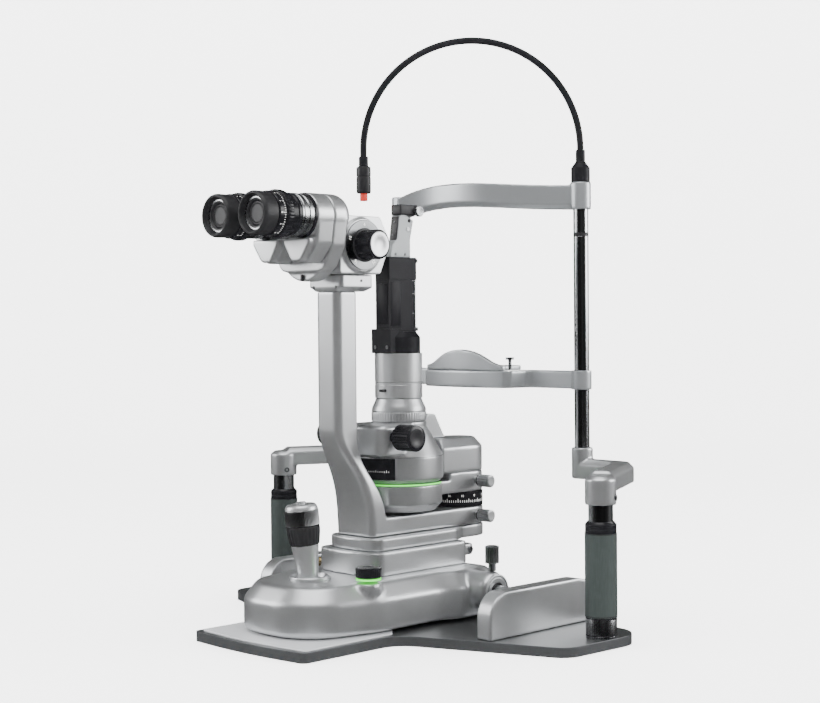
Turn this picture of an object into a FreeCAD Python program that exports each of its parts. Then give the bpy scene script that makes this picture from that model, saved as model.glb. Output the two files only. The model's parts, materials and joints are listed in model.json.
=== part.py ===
import FreeCAD, Part
import math
import os
import Sketcher

# A slit lamp: base plate, head rest, cross-slide carriage, microscope and illumination tower.
# Frame: millimetres, +X to the operator's right, +Y towards the patient, +Z up.
# The origin is on the table, under the middle of the line between the two pillars.

V = FreeCAD.Vector
doc = FreeCAD.newDocument("slit_lamp")
sheet = doc.addObject("Spreadsheet::Sheet", "Sizes")

DIMENSIONS = {
    # base plate and glide pad
    "plate_thickness": 10, "plate_half_width": 257.5, "nose_half_width": 84.5, "nose_front": 258,
    "table_hole_radius": 2.5, "table_hole_depth": 8, "table_hole_x": 75, "table_hole_front": 230,
    "table_hole_back": 10, "pad_thickness": 1.5, "pad_half_width": 79, "pad_front": 251, "pad_back": 120,
    # rail covers, racks and axle
    "cover_inner": 157, "cover_width": 19, "cover_wall": 3, "cover_top": 56, "cover_front": 92,
    "cover_back": 80, "axle_y": -9, "axle_z": 42, "axle_radius": 6, "axle_half_length": 172,
    "wheel_pitch_radius": 9, "wheel_teeth": 12, "wheel_width": 7, "wheel_x": 161.5, "rack_width": 8,
    "rack_front": 72, "rack_teeth": 30, "tooth_addendum": 1.0, "tooth_dedendum": 1.6, "tooth_play": 0.35,
    "shoe_length": 16, "shoe_width": 2.5, "shoe_height": 16, "running_play": 0.05,
    # pillars, grips, brackets and rods
    "pillar_x": 239.5, "pillar_radius": 12.25, "pillar_top": 166, "foot_ring_radius": 15.5,
    "foot_ring_top": 30.6, "grip_radius": 16, "grip_top": 113, "grip_collar_top": 124.6,
    "grip_collar_neck": 12.9, "bracket_cap_radius": 15.5, "bracket_cap_bottom": 141,
    "bracket_cap_top": 170, "bracket_under": 153, "bracket_over": 174, "bracket_bevel": 5.5,
    "bracket_arm_width": 26, "socket_radius": 11.3, "socket_top": 186, "rod_x": 136.5, "rod_y": 99.3,
    "rod_radius": 8, "rod_bottom": 157, "rod_top": 466, "mark_z": 412, "mark_width": 4, "mark_depth": 0.6,
    # forehead band
    "band_boss_radius": 11, "band_boss_bottom": 441, "band_boss_top": 470, "band_apex_y": 43,
    "band_height": 24, "band_bottom": 445, "band_rise": 7, "band_thickness": 9, "band_bevel": 5,
    # chin rest
    "chin_boss_radius": 10.5, "chin_bottom": 248, "chin_height": 21, "chin_bar_width": 14,
    "chin_tray_front": 60, "chin_tray_half_width": 59, "chin_tray_nose": 47, "chin_front_radius": 214,
    "chin_peak": 292.5, "chin_wall": 7,
    "pin_x": 58, "pin_y": 72, "pin_radius": 1.8, "pin_height": 12, "pin_head_radius": 4.5,
    "pin_head_height": 2.5,
    # fixation light on its bent arm
    "fixation_socket_radius": 10, "fixation_socket_top": 492, "fixation_ferrule_radius": 5,
    "fixation_tube_radius": 3.5, "fixation_arch_radius": 116, "fixation_arch_z": 506,
    "fixation_lamp_radius": 7.7, "fixation_lamp_top": 489, "fixation_lamp_bottom": 460,
    "fixation_tip_radius": 4, "fixation_tip_bottom": 452, "fixation_heading": 225,
    # carriage
    "carriage_bottom": 13.5, "carriage_top": 62, "carriage_nose_front": 232, "carriage_nose_radius": 57,
    "carriage_half_width": 77, "carriage_bevel_run": 14, "carriage_bevel_drop": 17, "carriage_wall": 5,
    "carriage_roof": 5, "ear_radius": 19, "ear_end": 106, "cap_radius": 17, "cap_thickness": 4,
    "floor_thickness": 2.5, "joystick_y": -171, "joystick_ball_z": 46, "joystick_ball_radius": 11,
    "collar_radius": 21.3, "collar_mouth": 18, "collar_top": 66, "collar_skirt_bottom": 38,
    "collar_skirt_radius": 15.9, "housing_top": 86, "housing_half_width": 46, "column_y": -45,
    "column_radius": 18, "column_bottom": 20, "dimmer_x": 62, "dimmer_y": -147.6, "dimmer_radius": 13,
    "dimmer_bottom": 65, "dimmer_height": 13, "lock_x": 104, "lock_radius": 7.3, "lock_bottom": 70,
    "lock_height": 18.5, "lock_neck_radius": 4,
    # joystick, measured along its own axis from the ball's centre
    "stem_bottom": 12, "stem_waist": 19, "stem_top": 51, "grip_end": 71, "ring_end": 87, "crown_end": 93,
    "stem_core_radius": 6, "stem_bottom_radius": 8, "stem_waist_radius": 10.6, "stem_top_radius": 14,
    "ring_radius": 17.3, "crown_radius": 15.2, "button_radius": 5, "button_height": 6.2,
    "button_travel": 1.5, "joystick_lean": 5.3,
    # lifting platform and pivot
    "platform_bottom": 86.4, "platform_top": 99.4, "platform_half_width": 38, "pivot_y": 48,
    "pivot_radius": 14, "hub_radius": 28, "scale_bottom": 119.6, "scale_top": 135.4, "pivot_top": 157,
    # microscope arm and body
    "scope_arm_bottom": 100, "scope_arm_top": 119, "column_half_width": 17, "column_front": 146,
    "column_back": 117.5, "column_top": 354, "mount_half_width": 25, "mount_top": 371, "mount_front": 147,
    "mount_back": 102, "changer_half_width": 35, "changer_front": 157, "changer_back": 90,
    "changer_top": 430.5, "changer_bottom": 371.4, "drum_y": -128, "drum_z": 400.6, "drum_radius": 24,
    "drum_half_length": 30, "dial_radius": 27, "dial_height": 4, "knob_radius": 15, "knob_end": 62,
    "light_path_x": 12, "light_path_radius": 7.5, "objective_radius": 25, "objective_length": 10,
    "body_disc_radius": 36, "prism_barrel_radius": 22.5, "prism_seam": 178, "prism_front": 206,
    "prism_barrel_front": 200, "eye_half_distance": 28.4, "eye_z": 428.5, "turn_z": 400,
    "ocular_barrel_radius": 22, "ocular_length": 30, "ocular_tube_radius": 15.5, "ocular_bore": 13,
    "diopter_radius": 24, "eyecup_radius": 22, "diopter_length": 36.5,
    # lock knobs on the two arms
    "arm_knob_z_low": 110, "arm_knob_z_high": 148, "arm_knob_radius": 6.8, "arm_knob_start": 29,
    "arm_knob_length": 23,
    # illumination arm and tower
    "lamp_arm_bottom": 136, "lamp_arm_top": 157.5, "tower_y": -42, "lower_drum_radius": 45.5,
    "lower_drum_foot_radius": 38, "lower_drum_bottom": 122, "lower_drum_taper": 8, "glow_bottom": 150,
    "glow_top": 153, "glow_radius": 46.2, "drum_gap_top": 156, "upper_drum_radius": 47,
    "upper_drum_top": 180, "cone_top": 209, "cone_top_radius": 31, "neck_top": 217, "lamp_bore": 30,
    "slit_knob_radius": 13.5, "slit_knob_start": 45, "slit_knob_end": 70, "slit_axis_y": -85,
    "slit_axis_z": 203, "control_front": 103, "control_half_width": 36, "control_bottom": 184,
    "control_top": 215, "dial_top": 241, "dial_outer": 29.4, "filter_radius": 25.4, "filter_top": 258.6,
    "core_radius": 20, "core_bore": 15.5, "column_sleeve_top": 289, "tube_collar_radius": 23.5,
    "tube_collar_top": 312, "tube_radius": 7.5, "tube_y": -27.5, "tube_top": 391, "tube_bore": 7, "box_half_width": 10.2,
    "box_front": 65, "box_back": 30, "box_bottom": 305, "box_top": 388, "cap_bottom": 367.5,
    "clip_half_width": 14.5, "clip_front": 67.5, "clip_back": 48, "clip_bottom": 289.3,
    "clip_top": 315, "lamp_box_top": 195, "head_half_width": 5.5,
}


def fill_sheet():
    """Writes every driving dimension to the sheet, one row each, and gives its cell an alias."""
    for row, (alias, amount) in enumerate(DIMENSIONS.items(), start=1):
        sheet.set(f"A{row}", alias)
        sheet.set(f"B{row}", str(amount))
        sheet.setAlias(f"B{row}", alias)
    doc.recompute()
    return {alias: float(sheet.get(alias)) for alias in DIMENSIONS}


size = fill_sheet()
PLAY = size["running_play"]
TURN_TO_X = FreeCAD.Rotation(V(0, 1, 0), 90)
TURN_TO_FRONT = FreeCAD.Rotation(V(1, 0, 0), 90)
NO_TURN = FreeCAD.Rotation()
nodes = []


def cells(text):
    """Turns bare aliases in an expression into references to the sheet's cells."""
    return " ".join(f"Sizes.{word}" if word in size else word for word in text.split())


def bind(obj, **expressions):
    for prop, text in expressions.items():
        obj.setExpression(prop, cells(text))


def place(obj, x=0.0, y=0.0, z=0.0, turn=NO_TURN):
    obj.Placement = FreeCAD.Placement(V(x, y, z), turn)
    return obj


def keep(obj, label):
    """Marks a finished sub-part: its label names its file."""
    obj.Label = label
    nodes.append(obj)
    return obj


def cylinder(radius, height, x=0.0, y=0.0, z=0.0, turn=NO_TURN):
    obj = doc.addObject("Part::Cylinder", "cylinder")
    bind(obj, Radius=radius, Height=height)
    return place(obj, x, y, z, turn)


def cone(foot, top, height, x=0.0, y=0.0, z=0.0, turn=NO_TURN):
    obj = doc.addObject("Part::Cone", "cone")
    bind(obj, Radius1=foot, Radius2=top, Height=height)
    return place(obj, x, y, z, turn)


def block(length, width, height, x=0.0, y=0.0, z=0.0):
    """A box from its lowest corner at x, y, z."""
    obj = doc.addObject("Part::Box", "block")
    bind(obj, Length=length, Width=width, Height=height)
    return place(obj, x, y, z)


def join(*parts):
    obj = doc.addObject("Part::MultiFuse", "join")
    obj.Shapes = list(parts)
    obj.Refine = True
    return obj


def take(base, *tools):
    """The base with every tool cut out of it."""
    obj = doc.addObject("Part::Cut", "take")
    obj.Base = base
    obj.Tool = tools[0] if len(tools) == 1 else join(*tools)
    obj.Refine = True
    return obj


def mirrored(source):
    obj = doc.addObject("Part::Mirroring", "mirrored")
    obj.Source = source
    obj.Normal = V(1, 0, 0)
    return obj


def group(*parts):
    """Separate solids that share one node."""
    obj = doc.addObject("Part::Compound", "group")
    obj.Links = list(parts)
    return obj


def rounded(corners):
    """Lines and tangent arcs of a closed outline; a corner is (x, y) or (x, y, radius)."""
    count = len(corners)
    starts = []
    for i, corner in enumerate(corners):
        here = V(corner[0], corner[1], 0)
        radius = corner[2] if len(corner) > 2 else 0
        if not radius:
            starts.append((here, here, None))
            continue
        before = V(corners[i - 1][0], corners[i - 1][1], 0) - here
        after = V(corners[(i + 1) % count][0], corners[(i + 1) % count][1], 0) - here
        before.normalize()
        after.normalize()
        half = before.getAngle(after) / 2
        reach = radius / math.tan(half)
        bisector = before + after
        bisector.normalize()
        middle = here + bisector * (radius / math.sin(half) - radius)
        starts.append((here + before * reach, here + after * reach, middle))
    edges = []
    for i, (first, last, middle) in enumerate(starts):
        if middle is not None:
            edges.append(Part.Arc(first, middle, last))
        following = starts[(i + 1) % count][0]
        if last.distanceToPoint(following) > 1e-6:
            edges.append(Part.LineSegment(last, following))
    return edges


def sketch_in(body, plane, corners, level="0"):
    """A closed sketch on one of the body's origin planes, or raised to a level above it."""
    role = next(f for f in body.Origin.OriginFeatures if f.Role == plane)
    sketch = body.newObject("Sketcher::SketchObject", "outline")
    sketch.AttachmentSupport = [(role, "")]
    sketch.MapMode = "FlatFace"
    sketch.setExpression("AttachmentOffset.Base.z", cells(level))
    edges = rounded(corners)
    sketch.addGeometry(edges, False)
    for i in range(len(edges)):
        sketch.addConstraint(Sketcher.Constraint("Block", i))
    return sketch


def pad(plane, corners, length, reverse=False, middle=False):
    """A body with one padded outline; its length is bound to the sheet."""
    body = doc.addObject("PartDesign::Body", "body")
    feature = body.newObject("PartDesign::Pad", "pad")
    feature.Profile = sketch_in(body, plane, corners)
    bind(feature, Length=length)
    feature.Reversed = reverse
    feature.Midplane = middle
    return body


def slab(corners, height, z):
    """A plan outline (x, y) raised by a height from level z."""
    body = pad("XY_Plane", corners, height)
    return place(body, z=z)


def side_slab(corners, width, x=0.0, middle=True):
    """A side outline (y, z) with a width along X, about the middle or from x outwards."""
    body = pad("YZ_Plane", corners, width, middle=middle)
    return place(body, x=x)


def inset(corners, distance):
    """The outline moved inwards, its round corners adjusted to stay parallel."""
    count = len(corners)
    area = sum(corners[i - 1][0] * corners[i][1] - corners[i][0] * corners[i - 1][1] for i in range(count))
    sense = 1 if area > 0 else -1
    moved = []
    for i, corner in enumerate(corners):
        before, after = corners[i - 1], corners[(i + 1) % count]
        here = V(corner[0], corner[1], 0)
        arriving = (here - V(before[0], before[1], 0)).normalize()
        leaving = (V(after[0], after[1], 0) - here).normalize()
        normals = V(-arriving.y, arriving.x, 0) * sense, V(-leaving.y, leaving.x, 0) * sense
        shift = (normals[0] + normals[1]) * (distance / (1 + normals[0].dot(normals[1])))
        spot = here + shift
        if len(corner) < 3:
            moved.append((spot.x, spot.y))
            continue
        convex = arriving.cross(leaving).z * sense > 0
        radius = corner[2] - distance if convex else corner[2] + distance
        moved.append((spot.x, spot.y, max(radius, 0.2)))
    return moved


def bevelled(corners, height, run, drop, z):
    """A slab with its top edge bevelled: a pad, then a loft that draws in by run over the drop."""
    body = pad("XY_Plane", corners, f"{height} - {drop}")
    low = sketch_in(body, "XY_Plane", corners, f"{height} - {drop}")
    high = sketch_in(body, "XY_Plane", inset(corners, run), height)
    loft = body.newObject("PartDesign::AdditiveLoft", "bevel")
    loft.Profile = low
    loft.Sections = [high]
    loft.Ruled = True
    return place(body, z=z)


def both_sides(corners):
    """A plan outline symmetric about the Y axis, from its right-hand corners, front to back."""
    left = [(-c[0], *c[1:]) for c in reversed(corners) if c[0] > 0]
    return corners + left


# ---------------------------------------------------------------- base plate and glide pad
def make_base():
    w = size["plate_half_width"]
    nose = size["nose_half_width"]
    front = -size["nose_front"]
    outline = both_sides([
        (0, front - 4, 600), (nose, front + 4, 7), (nose, -131, 30), (w - 5, -66, 22), (w, 50, 34),
        (198, 50, 12), (186, 88, 12),
    ])
    plate = slab(outline, "plate_thickness", 0)
    holes = []
    for x in (-size["table_hole_x"], size["table_hole_x"]):
        for y in (-size["table_hole_front"], -size["table_hole_back"]):
            holes.append(cylinder("table_hole_radius", "table_hole_depth", x, y, 0))
    keep(take(plate, *holes), "base_plate")
    pw, pf, pb = size["pad_half_width"], -size["pad_front"], -size["pad_back"]
    outline = both_sides([(0, pf - 4, 500), (pw, pf + 4, 3), (pw, pb - 12), (pw - 12, pb)])
    keep(slab(outline, "pad_thickness", size["plate_thickness"]), "glide_pad")


# ---------------------------------------------------------------- rails
def cover_profile(inset, foot):
    front, back, top = -size["cover_front"] + inset, size["cover_back"] - inset, size["cover_top"] - inset
    return [(front, foot), (front, top, 26 - inset), (44, top, 40), (back - 4, top - 7, 8), (back, foot)]


def make_rails():
    deck = size["plate_thickness"]
    inner = size["cover_inner"]
    wall = size["cover_wall"]
    shell = side_slab(cover_profile(0, deck), "cover_width", inner, middle=False)
    hollow = side_slab(cover_profile(wall, deck - 1), "cover_width - 2 * cover_wall", inner + wall,
                       middle=False)
    slot = block("cover_wall + 2", "126", "20", inner - 1, -74, size["axle_z"] - 10)
    right = take(shell, hollow, slot)
    keep(group(right, mirrored(right)), "rail_covers")


def make_racks():
    """Two bars with straight teeth under the wheels' pitch line."""
    pitch = 2 * math.pi * size["wheel_pitch_radius"] / size["wheel_teeth"]
    line = size["axle_z"] - size["wheel_pitch_radius"]
    root = line - size["tooth_dedendum"]
    tip = line + size["tooth_addendum"] - 0.1
    half_root = pitch / 4 + 0.45 - size["tooth_play"]
    half_tip = pitch / 4 - 0.4 - size["tooth_play"]
    phase = size["axle_y"] + pitch / 2
    first = phase - pitch * math.floor((phase + size["rack_front"]) / pitch)
    teeth = int(size["rack_teeth"])
    start, end = first - pitch / 2, first + (teeth - 0.5) * pitch
    corners = [(start, size["plate_thickness"]), (start, root)]
    for i in range(teeth):
        centre = first + i * pitch
        corners += [(centre - half_root, root), (centre - half_tip, tip)]
        corners += [(centre + half_tip, tip), (centre + half_root, root)]
    corners += [(end, root), (end, size["plate_thickness"])]
    right = side_slab(corners, "rack_width", size["wheel_x"] - 0.5, middle=False)
    keep(group(right, mirrored(right)), "gear_racks")


def wheel():
    """A toothed wheel on the axle: a disc with one tooth, repeated round its axis."""
    body = doc.addObject("PartDesign::Body", "wheel")
    root = size["wheel_pitch_radius"] - size["tooth_dedendum"]
    tip = size["wheel_pitch_radius"] + size["tooth_addendum"] - 0.1
    pitch = 2 * math.pi * size["wheel_pitch_radius"] / size["wheel_teeth"]
    disc = body.newObject("PartDesign::Pad", "disc")
    face = next(f for f in body.Origin.OriginFeatures if f.Role == "XY_Plane")
    ring = body.newObject("Sketcher::SketchObject", "ring")
    ring.AttachmentSupport = [(face, "")]
    ring.MapMode = "FlatFace"
    ring.addGeometry(Part.Circle(V(0, 0, 0), V(0, 0, 1), root), False)
    ring.addGeometry(Part.Circle(V(0, 0, 0), V(0, 0, 1), size["axle_radius"]), False)
    disc.Profile = ring
    bind(disc, Length="wheel_width")
    tooth = body.newObject("PartDesign::Pad", "tooth")
    wide, slim = pitch / 4 + 0.25, pitch / 4 - 0.65
    tooth.Profile = sketch_in(body, "XY_Plane", [
        (root - 0.6, -wide), (root + 0.3, -wide), (tip, -slim), (tip, slim), (root + 0.3, wide), (root - 0.6, wide)])
    bind(tooth, Length="wheel_width")
    doc.recompute()
    pattern = body.newObject("PartDesign::PolarPattern", "teeth")
    pattern.Originals = [tooth]
    pattern.Axis = (next(f for f in body.Origin.OriginFeatures if f.Role == "Z_Axis"), [""])
    pattern.Angle = 360
    pattern.Occurrences = int(size["wheel_teeth"])
    body.Tip = pattern
    return body


def make_axle():
    y, z = size["axle_y"], size["axle_z"]
    rod = cylinder("axle_radius", "2 * axle_half_length", -size["axle_half_length"], y, z, TURN_TO_X)
    keep(rod, "axle")
    right = place(wheel(), size["wheel_x"], y, z, TURN_TO_X)
    keep(group(right, mirrored(right)), "gear_wheels")
    length, tall = size["shoe_length"], size["shoe_height"]
    x = size["wheel_x"] + size["wheel_width"] + 0.6
    shoe = block("shoe_width", "shoe_length", "shoe_height", x, y - length / 2, z - tall / 2)
    bore = cylinder("axle_radius + running_play", "20", x - 5, y, z, TURN_TO_X)
    right_shoe = take(shoe, bore)
    keep(group(right_shoe, mirrored(right_shoe)), "guide_shoes")


# ---------------------------------------------------------------- pillars, brackets, rods
def make_pillars():
    x, deck = size["pillar_x"], size["plate_thickness"]
    tube = cylinder("pillar_radius", "pillar_top - plate_thickness", x, 0, deck)
    keep(group(tube, mirrored(tube)), "pillars")
    bore = "pillar_radius + running_play"
    foot = take(cylinder("foot_ring_radius", "foot_ring_top - plate_thickness", x, 0, deck),
                cylinder(bore, "foot_ring_top", x, 0, 0))
    low = cylinder("foot_ring_radius", "grip_collar_top - grip_top - 2.6", x, 0, size["grip_top"])
    high = cone("foot_ring_radius", "grip_collar_neck", "2.6", x, 0, size["grip_collar_top"] - 2.6)
    collar = take(join(low, high), cylinder(bore, "grip_collar_top", x, 0, 10))
    keep(group(foot, mirrored(foot), collar, mirrored(collar)), "grip_rings")
    grip = take(cylinder("grip_radius", "grip_top - foot_ring_top", x, 0, size["foot_ring_top"]),
                cylinder(bore, "grip_top", x, 0, 10))
    keep(group(grip, mirrored(grip)), "grips")


def make_brackets():
    """A boomerang arm from each pillar's cap back to the socket of its rod."""
    px, rx, ry = size["pillar_x"], size["rod_x"], size["rod_y"]
    half = size["bracket_arm_width"] / 2
    lead = V(-0.44, 0.9, 0).normalize()
    side = V(lead.y, -lead.x, 0) * half
    depth = size["socket_radius"] - 0.2

    def along(start, y):
        step = (y - start.y) / lead.y
        return start.x + lead.x * step

    outer, inner = V(px, 0, 0) + side, V(px, 0, 0) - side
    outline = [
        (outer.x, outer.y), (along(outer, ry + depth), ry + depth, 24), (rx, ry + depth),
        (rx, ry - depth), (along(inner, ry - depth), ry - depth, 12), (inner.x, inner.y),
    ]
    bevel = size["bracket_bevel"]
    arm = bevelled(outline, "bracket_over - bracket_under", bevel, "bracket_bevel", size["bracket_under"])
    cap_low = cylinder("bracket_cap_radius", "bracket_cap_top - bracket_cap_bottom - 4", px, 0,
                       size["bracket_cap_bottom"])
    cap_high = cone("bracket_cap_radius", "bracket_cap_radius - 5", "4", px, 0, size["bracket_cap_top"] - 4)
    socket = cylinder("socket_radius", "socket_top - bracket_under", rx, ry, size["bracket_under"])
    pillar_hole = cylinder("pillar_radius + running_play", "pillar_top - 130", px, 0, 130)
    rod_hole = cylinder("rod_radius + running_play", "socket_top - rod_bottom + 1", rx, ry, size["rod_bottom"])
    screw_hole = cylinder("3.2", "30", px, 0, 148,
                          FreeCAD.Rotation(V(0, 0, 1), V(lead.y, -lead.x, 0)))
    right = take(join(arm, cap_low, cap_high, socket), pillar_hole, rod_hole, screw_hole)
    keep(group(right, mirrored(right)), "brackets")


def make_rods():
    x, y = size["rod_x"], size["rod_y"]
    rod = cylinder("rod_radius", "rod_top - rod_bottom", x, y, size["rod_bottom"])
    rim = cylinder("rod_radius + 1", "mark_width", x, y, size["mark_z"])
    core = cylinder("rod_radius - mark_depth", "mark_width", x, y, size["mark_z"])
    right = take(rod, take(rim, core))
    keep(group(right, mirrored(right)), "rods")


def band_centre(x):
    """The arc through the two bosses and the apex, in plan."""
    half = size["rod_x"]
    sag = size["rod_y"] - size["band_apex_y"]
    radius = (half * half + sag * sag) / (2 * sag)
    return size["band_apex_y"] + radius - math.sqrt(radius * radius - x * x)


def make_forehead_band():
    """A bowed band lofted between the bosses, higher in the middle, bevelled underneath."""
    sections = []
    steps = 16
    reach = size["rod_x"] - 4
    for i in range(steps + 1):
        x = -reach + 2 * reach * i / steps
        slope = (band_centre(x + 0.5) - band_centre(x - 0.5))
        normal = V(-slope, 1, 0).normalize()
        centre = V(x, band_centre(x), 0)
        low = size["band_bottom"] - 2 + size["band_rise"] * math.cos(math.pi / 2 * x / reach) ** 2 - 2
        high = low + size["band_height"] + 2
        back = centre + normal * (size["band_thickness"] / 2)
        front = centre - normal * (size["band_thickness"] / 2)
        under = front + normal * size["band_bevel"]
        points = [back + V(0, 0, low), back + V(0, 0, high), front + V(0, 0, high),
                  front + V(0, 0, low + size["band_bevel"]), under + V(0, 0, low)]
        sections.append(Part.makePolygon(points + points[:1]))
    band = doc.addObject("Part::Feature", "band")
    band.Shape = Part.makeLoft(sections, True, False)
    bosses, holes = [], []
    for x in (-size["rod_x"], size["rod_x"]):
        bosses.append(cylinder("band_boss_radius", "band_boss_top - band_boss_bottom", x, size["rod_y"],
                               size["band_boss_bottom"]))
        holes.append(cylinder("rod_radius + running_play", "rod_top - band_boss_bottom + 1.2", x, size["rod_y"],
                              size["band_boss_bottom"] - 1))
    keep(take(join(band, *bosses), *holes), "forehead_band")


def make_chin_rest():
    x, y = size["rod_x"], size["rod_y"]
    front, back = y - size["chin_bar_width"] / 2, y + size["chin_bar_width"] / 2
    tray, edge, nose = size["chin_tray_half_width"], size["chin_tray_front"], size["chin_tray_nose"]
    bend, thick = size["chin_front_radius"], size["chin_wall"]
    outline = both_sides([(0, nose, bend), (tray, edge, 4), (tray + 6, edge + 6, 4), (tray + 9, front, 8),
                          (x, front), (x, back)])
    bar = slab(outline, "chin_height - 2", size["chin_bottom"] + 1)
    bosses, holes = [], []
    for side in (-x, x):
        bosses.append(cylinder("chin_boss_radius", "chin_height", side, y, size["chin_bottom"]))
        holes.append(cylinder("rod_radius + running_play", "chin_height + 2", side, y, size["chin_bottom"] - 1))
    keep(take(join(bar, *bosses), *holes), "chin_rest_bar")
    base = size["chin_bottom"] + size["chin_height"] - 1
    wide = tray - 1.5
    side = nose + (edge - nose) * wide / tray
    plan = both_sides([(0, nose, bend), (wide, side), (wide, side + thick), (0, nose + thick, bend - thick)])
    peak = size["chin_peak"]
    above = both_sides([(0, peak, 70), (24, peak - 5, 60), (48, peak - 18, 40), (62, peak - 19.5), (62, peak + 8)])
    wall = take(slab(plan, "chin_peak - chin_bottom - chin_height + 1", base),
                place(pad("XZ_Plane", above, "chin_wall + 23"), 0, 75, 0))
    seat = slab(both_sides([(44, nose + 10), (52, nose + 15), (52, back - 3, 10)]), "5", base)
    dish = doc.addObject("Part::Sphere", "dish")
    dish.Radius = 90
    place(dish, 0, 88, base + 92)
    keep(join(wall, take(seat, dish)), "chin_cup")
    rim = size["chin_bottom"] + size["chin_height"] - 1
    pin = join(cylinder("pin_radius", "pin_height", size["pin_x"], size["pin_y"], rim),
               cylinder("pin_head_radius", "pin_head_height", size["pin_x"], size["pin_y"], rim + size["pin_height"]))
    keep(pin, "paper_pin")


def make_fixation_light():
    x, y = size["rod_x"], size["rod_y"]
    start = size["band_boss_top"] + 0.2
    top = size["fixation_socket_top"]
    keep(join(cylinder("fixation_socket_radius", "15", x, y, start),
              cone("fixation_socket_radius", "fixation_ferrule_radius", f"{top - start - 15}", x, y, start + 15)),
         "fixation_socket")
    heading = math.radians(size["fixation_heading"])
    arch, level = size["fixation_arch_radius"], size["fixation_arch_z"]
    along = V(math.cos(heading), math.sin(heading), 0)
    middle = V(x, y, level) + along * arch
    far = middle + along * arch
    ferrule = cylinder("fixation_ferrule_radius", "12", x, y, top + 0.3)
    near_leg = cylinder("fixation_tube_radius", "fixation_arch_z - fixation_socket_top - 0.3", x, y, top + 0.3)
    bend = doc.addObject("Part::Torus", "bend")
    bind(bend, Radius1="fixation_arch_radius", Radius2="fixation_tube_radius")
    bend.Angle3 = 180
    turn = FreeCAD.Rotation(V(0, 0, 1), size["fixation_heading"]).multiply(TURN_TO_FRONT)
    place(bend, middle.x, middle.y, middle.z, turn)
    lamp_top = size["fixation_lamp_top"]
    far_leg = cylinder("fixation_tube_radius", "fixation_arch_z - fixation_lamp_top", far.x, far.y, lamp_top)
    far_ferrule = cylinder("fixation_ferrule_radius", "10", far.x, far.y, lamp_top)
    keep(join(ferrule, near_leg, bend, far_leg, far_ferrule), "fixation_arm")
    body = cylinder("fixation_lamp_radius", "fixation_lamp_top - fixation_lamp_bottom - 2", far.x, far.y,
                    size["fixation_lamp_bottom"] + 1)
    rim = cone("fixation_lamp_radius - 1", "fixation_lamp_radius", "1", far.x, far.y, size["fixation_lamp_bottom"])
    crown = cone("fixation_lamp_radius", "fixation_lamp_radius - 1.5", "1", far.x, far.y, lamp_top - 1)
    tip = cylinder("fixation_tip_radius", "fixation_lamp_bottom - fixation_tip_bottom", far.x, far.y,
                   size["fixation_tip_bottom"])
    keep(join(body, rim, crown, tip), "fixation_lamp")


# ---------------------------------------------------------------- carriage
def carriage_outline(inwards):
    r = size["carriage_nose_radius"]
    w = size["carriage_half_width"]
    front = -size["carriage_nose_front"]
    outline = both_sides([(r, front, r), (w, -140, 60), (w, -60, 60), (w + 10, -36, 22), (w + 10, 34, 22)])
    return inset(outline, inwards)


def make_carriage():
    y, z = size["axle_y"], size["axle_z"]
    outer = bevelled(carriage_outline(0), "carriage_top - carriage_bottom", size["carriage_bevel_run"],
                     "carriage_bevel_drop", size["carriage_bottom"])
    hollow = slab(carriage_outline(size["carriage_wall"]),
                  "carriage_top - carriage_bottom - carriage_roof - carriage_bevel_drop + 1",
                  size["carriage_bottom"] - 1)
    roof_hollow = slab(carriage_outline(size["carriage_wall"] + size["carriage_bevel_run"]),
                       "carriage_top - carriage_roof - carriage_bottom", size["carriage_bottom"])
    ears = cylinder("ear_radius", "2 * ear_end", -size["ear_end"], y, z, TURN_TO_X)
    caps = cylinder("cap_radius", "2 * ear_end + 2 * cap_thickness", -size["ear_end"] - size["cap_thickness"], y, z,
                    TURN_TO_X)
    ear_gap = cylinder("ear_radius + 1", "2 * carriage_half_width", -size["carriage_half_width"], y, z, TURN_TO_X)
    bearing = cylinder("axle_radius + 4", "2 * ear_end", -size["ear_end"], y, z, TURN_TO_X)
    jx, jy = 0, size["joystick_y"]
    seat = cylinder("collar_skirt_radius + 4", "carriage_top - 40", jx, jy, 40)
    guide = cylinder("column_radius + 4", "carriage_top - 20", 0, size["column_y"], 20)
    pod = join(cylinder("dimmer_radius", "dimmer_bottom - 54", size["dimmer_x"], size["dimmer_y"], 52),
               cone("dimmer_radius - 9", "dimmer_radius", "12", size["dimmer_x"], size["dimmer_y"], 40))
    lock_boss = cylinder("6", "carriage_top - axle_z", size["lock_x"] - 1, y, z)
    shell = join(take(outer, hollow, roof_hollow), take(join(ears, caps), ear_gap), bearing, seat, guide, pod,
                 lock_boss)
    axle_bore = cylinder("axle_radius + running_play", "2 * ear_end + 20", -size["ear_end"] - 10, y, z, TURN_TO_X)
    column_bore = cylinder("column_radius + running_play", "60", 0, size["column_y"], 10)
    seat_bore = cylinder("collar_skirt_radius", "60", jx, jy, 10)
    inner_pod = cylinder("dimmer_radius - 4", "14", size["dimmer_x"], size["dimmer_y"], 40)
    keep(take(shell, axle_bore, column_bore, seat_bore, inner_pod), "carriage_body")


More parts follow.
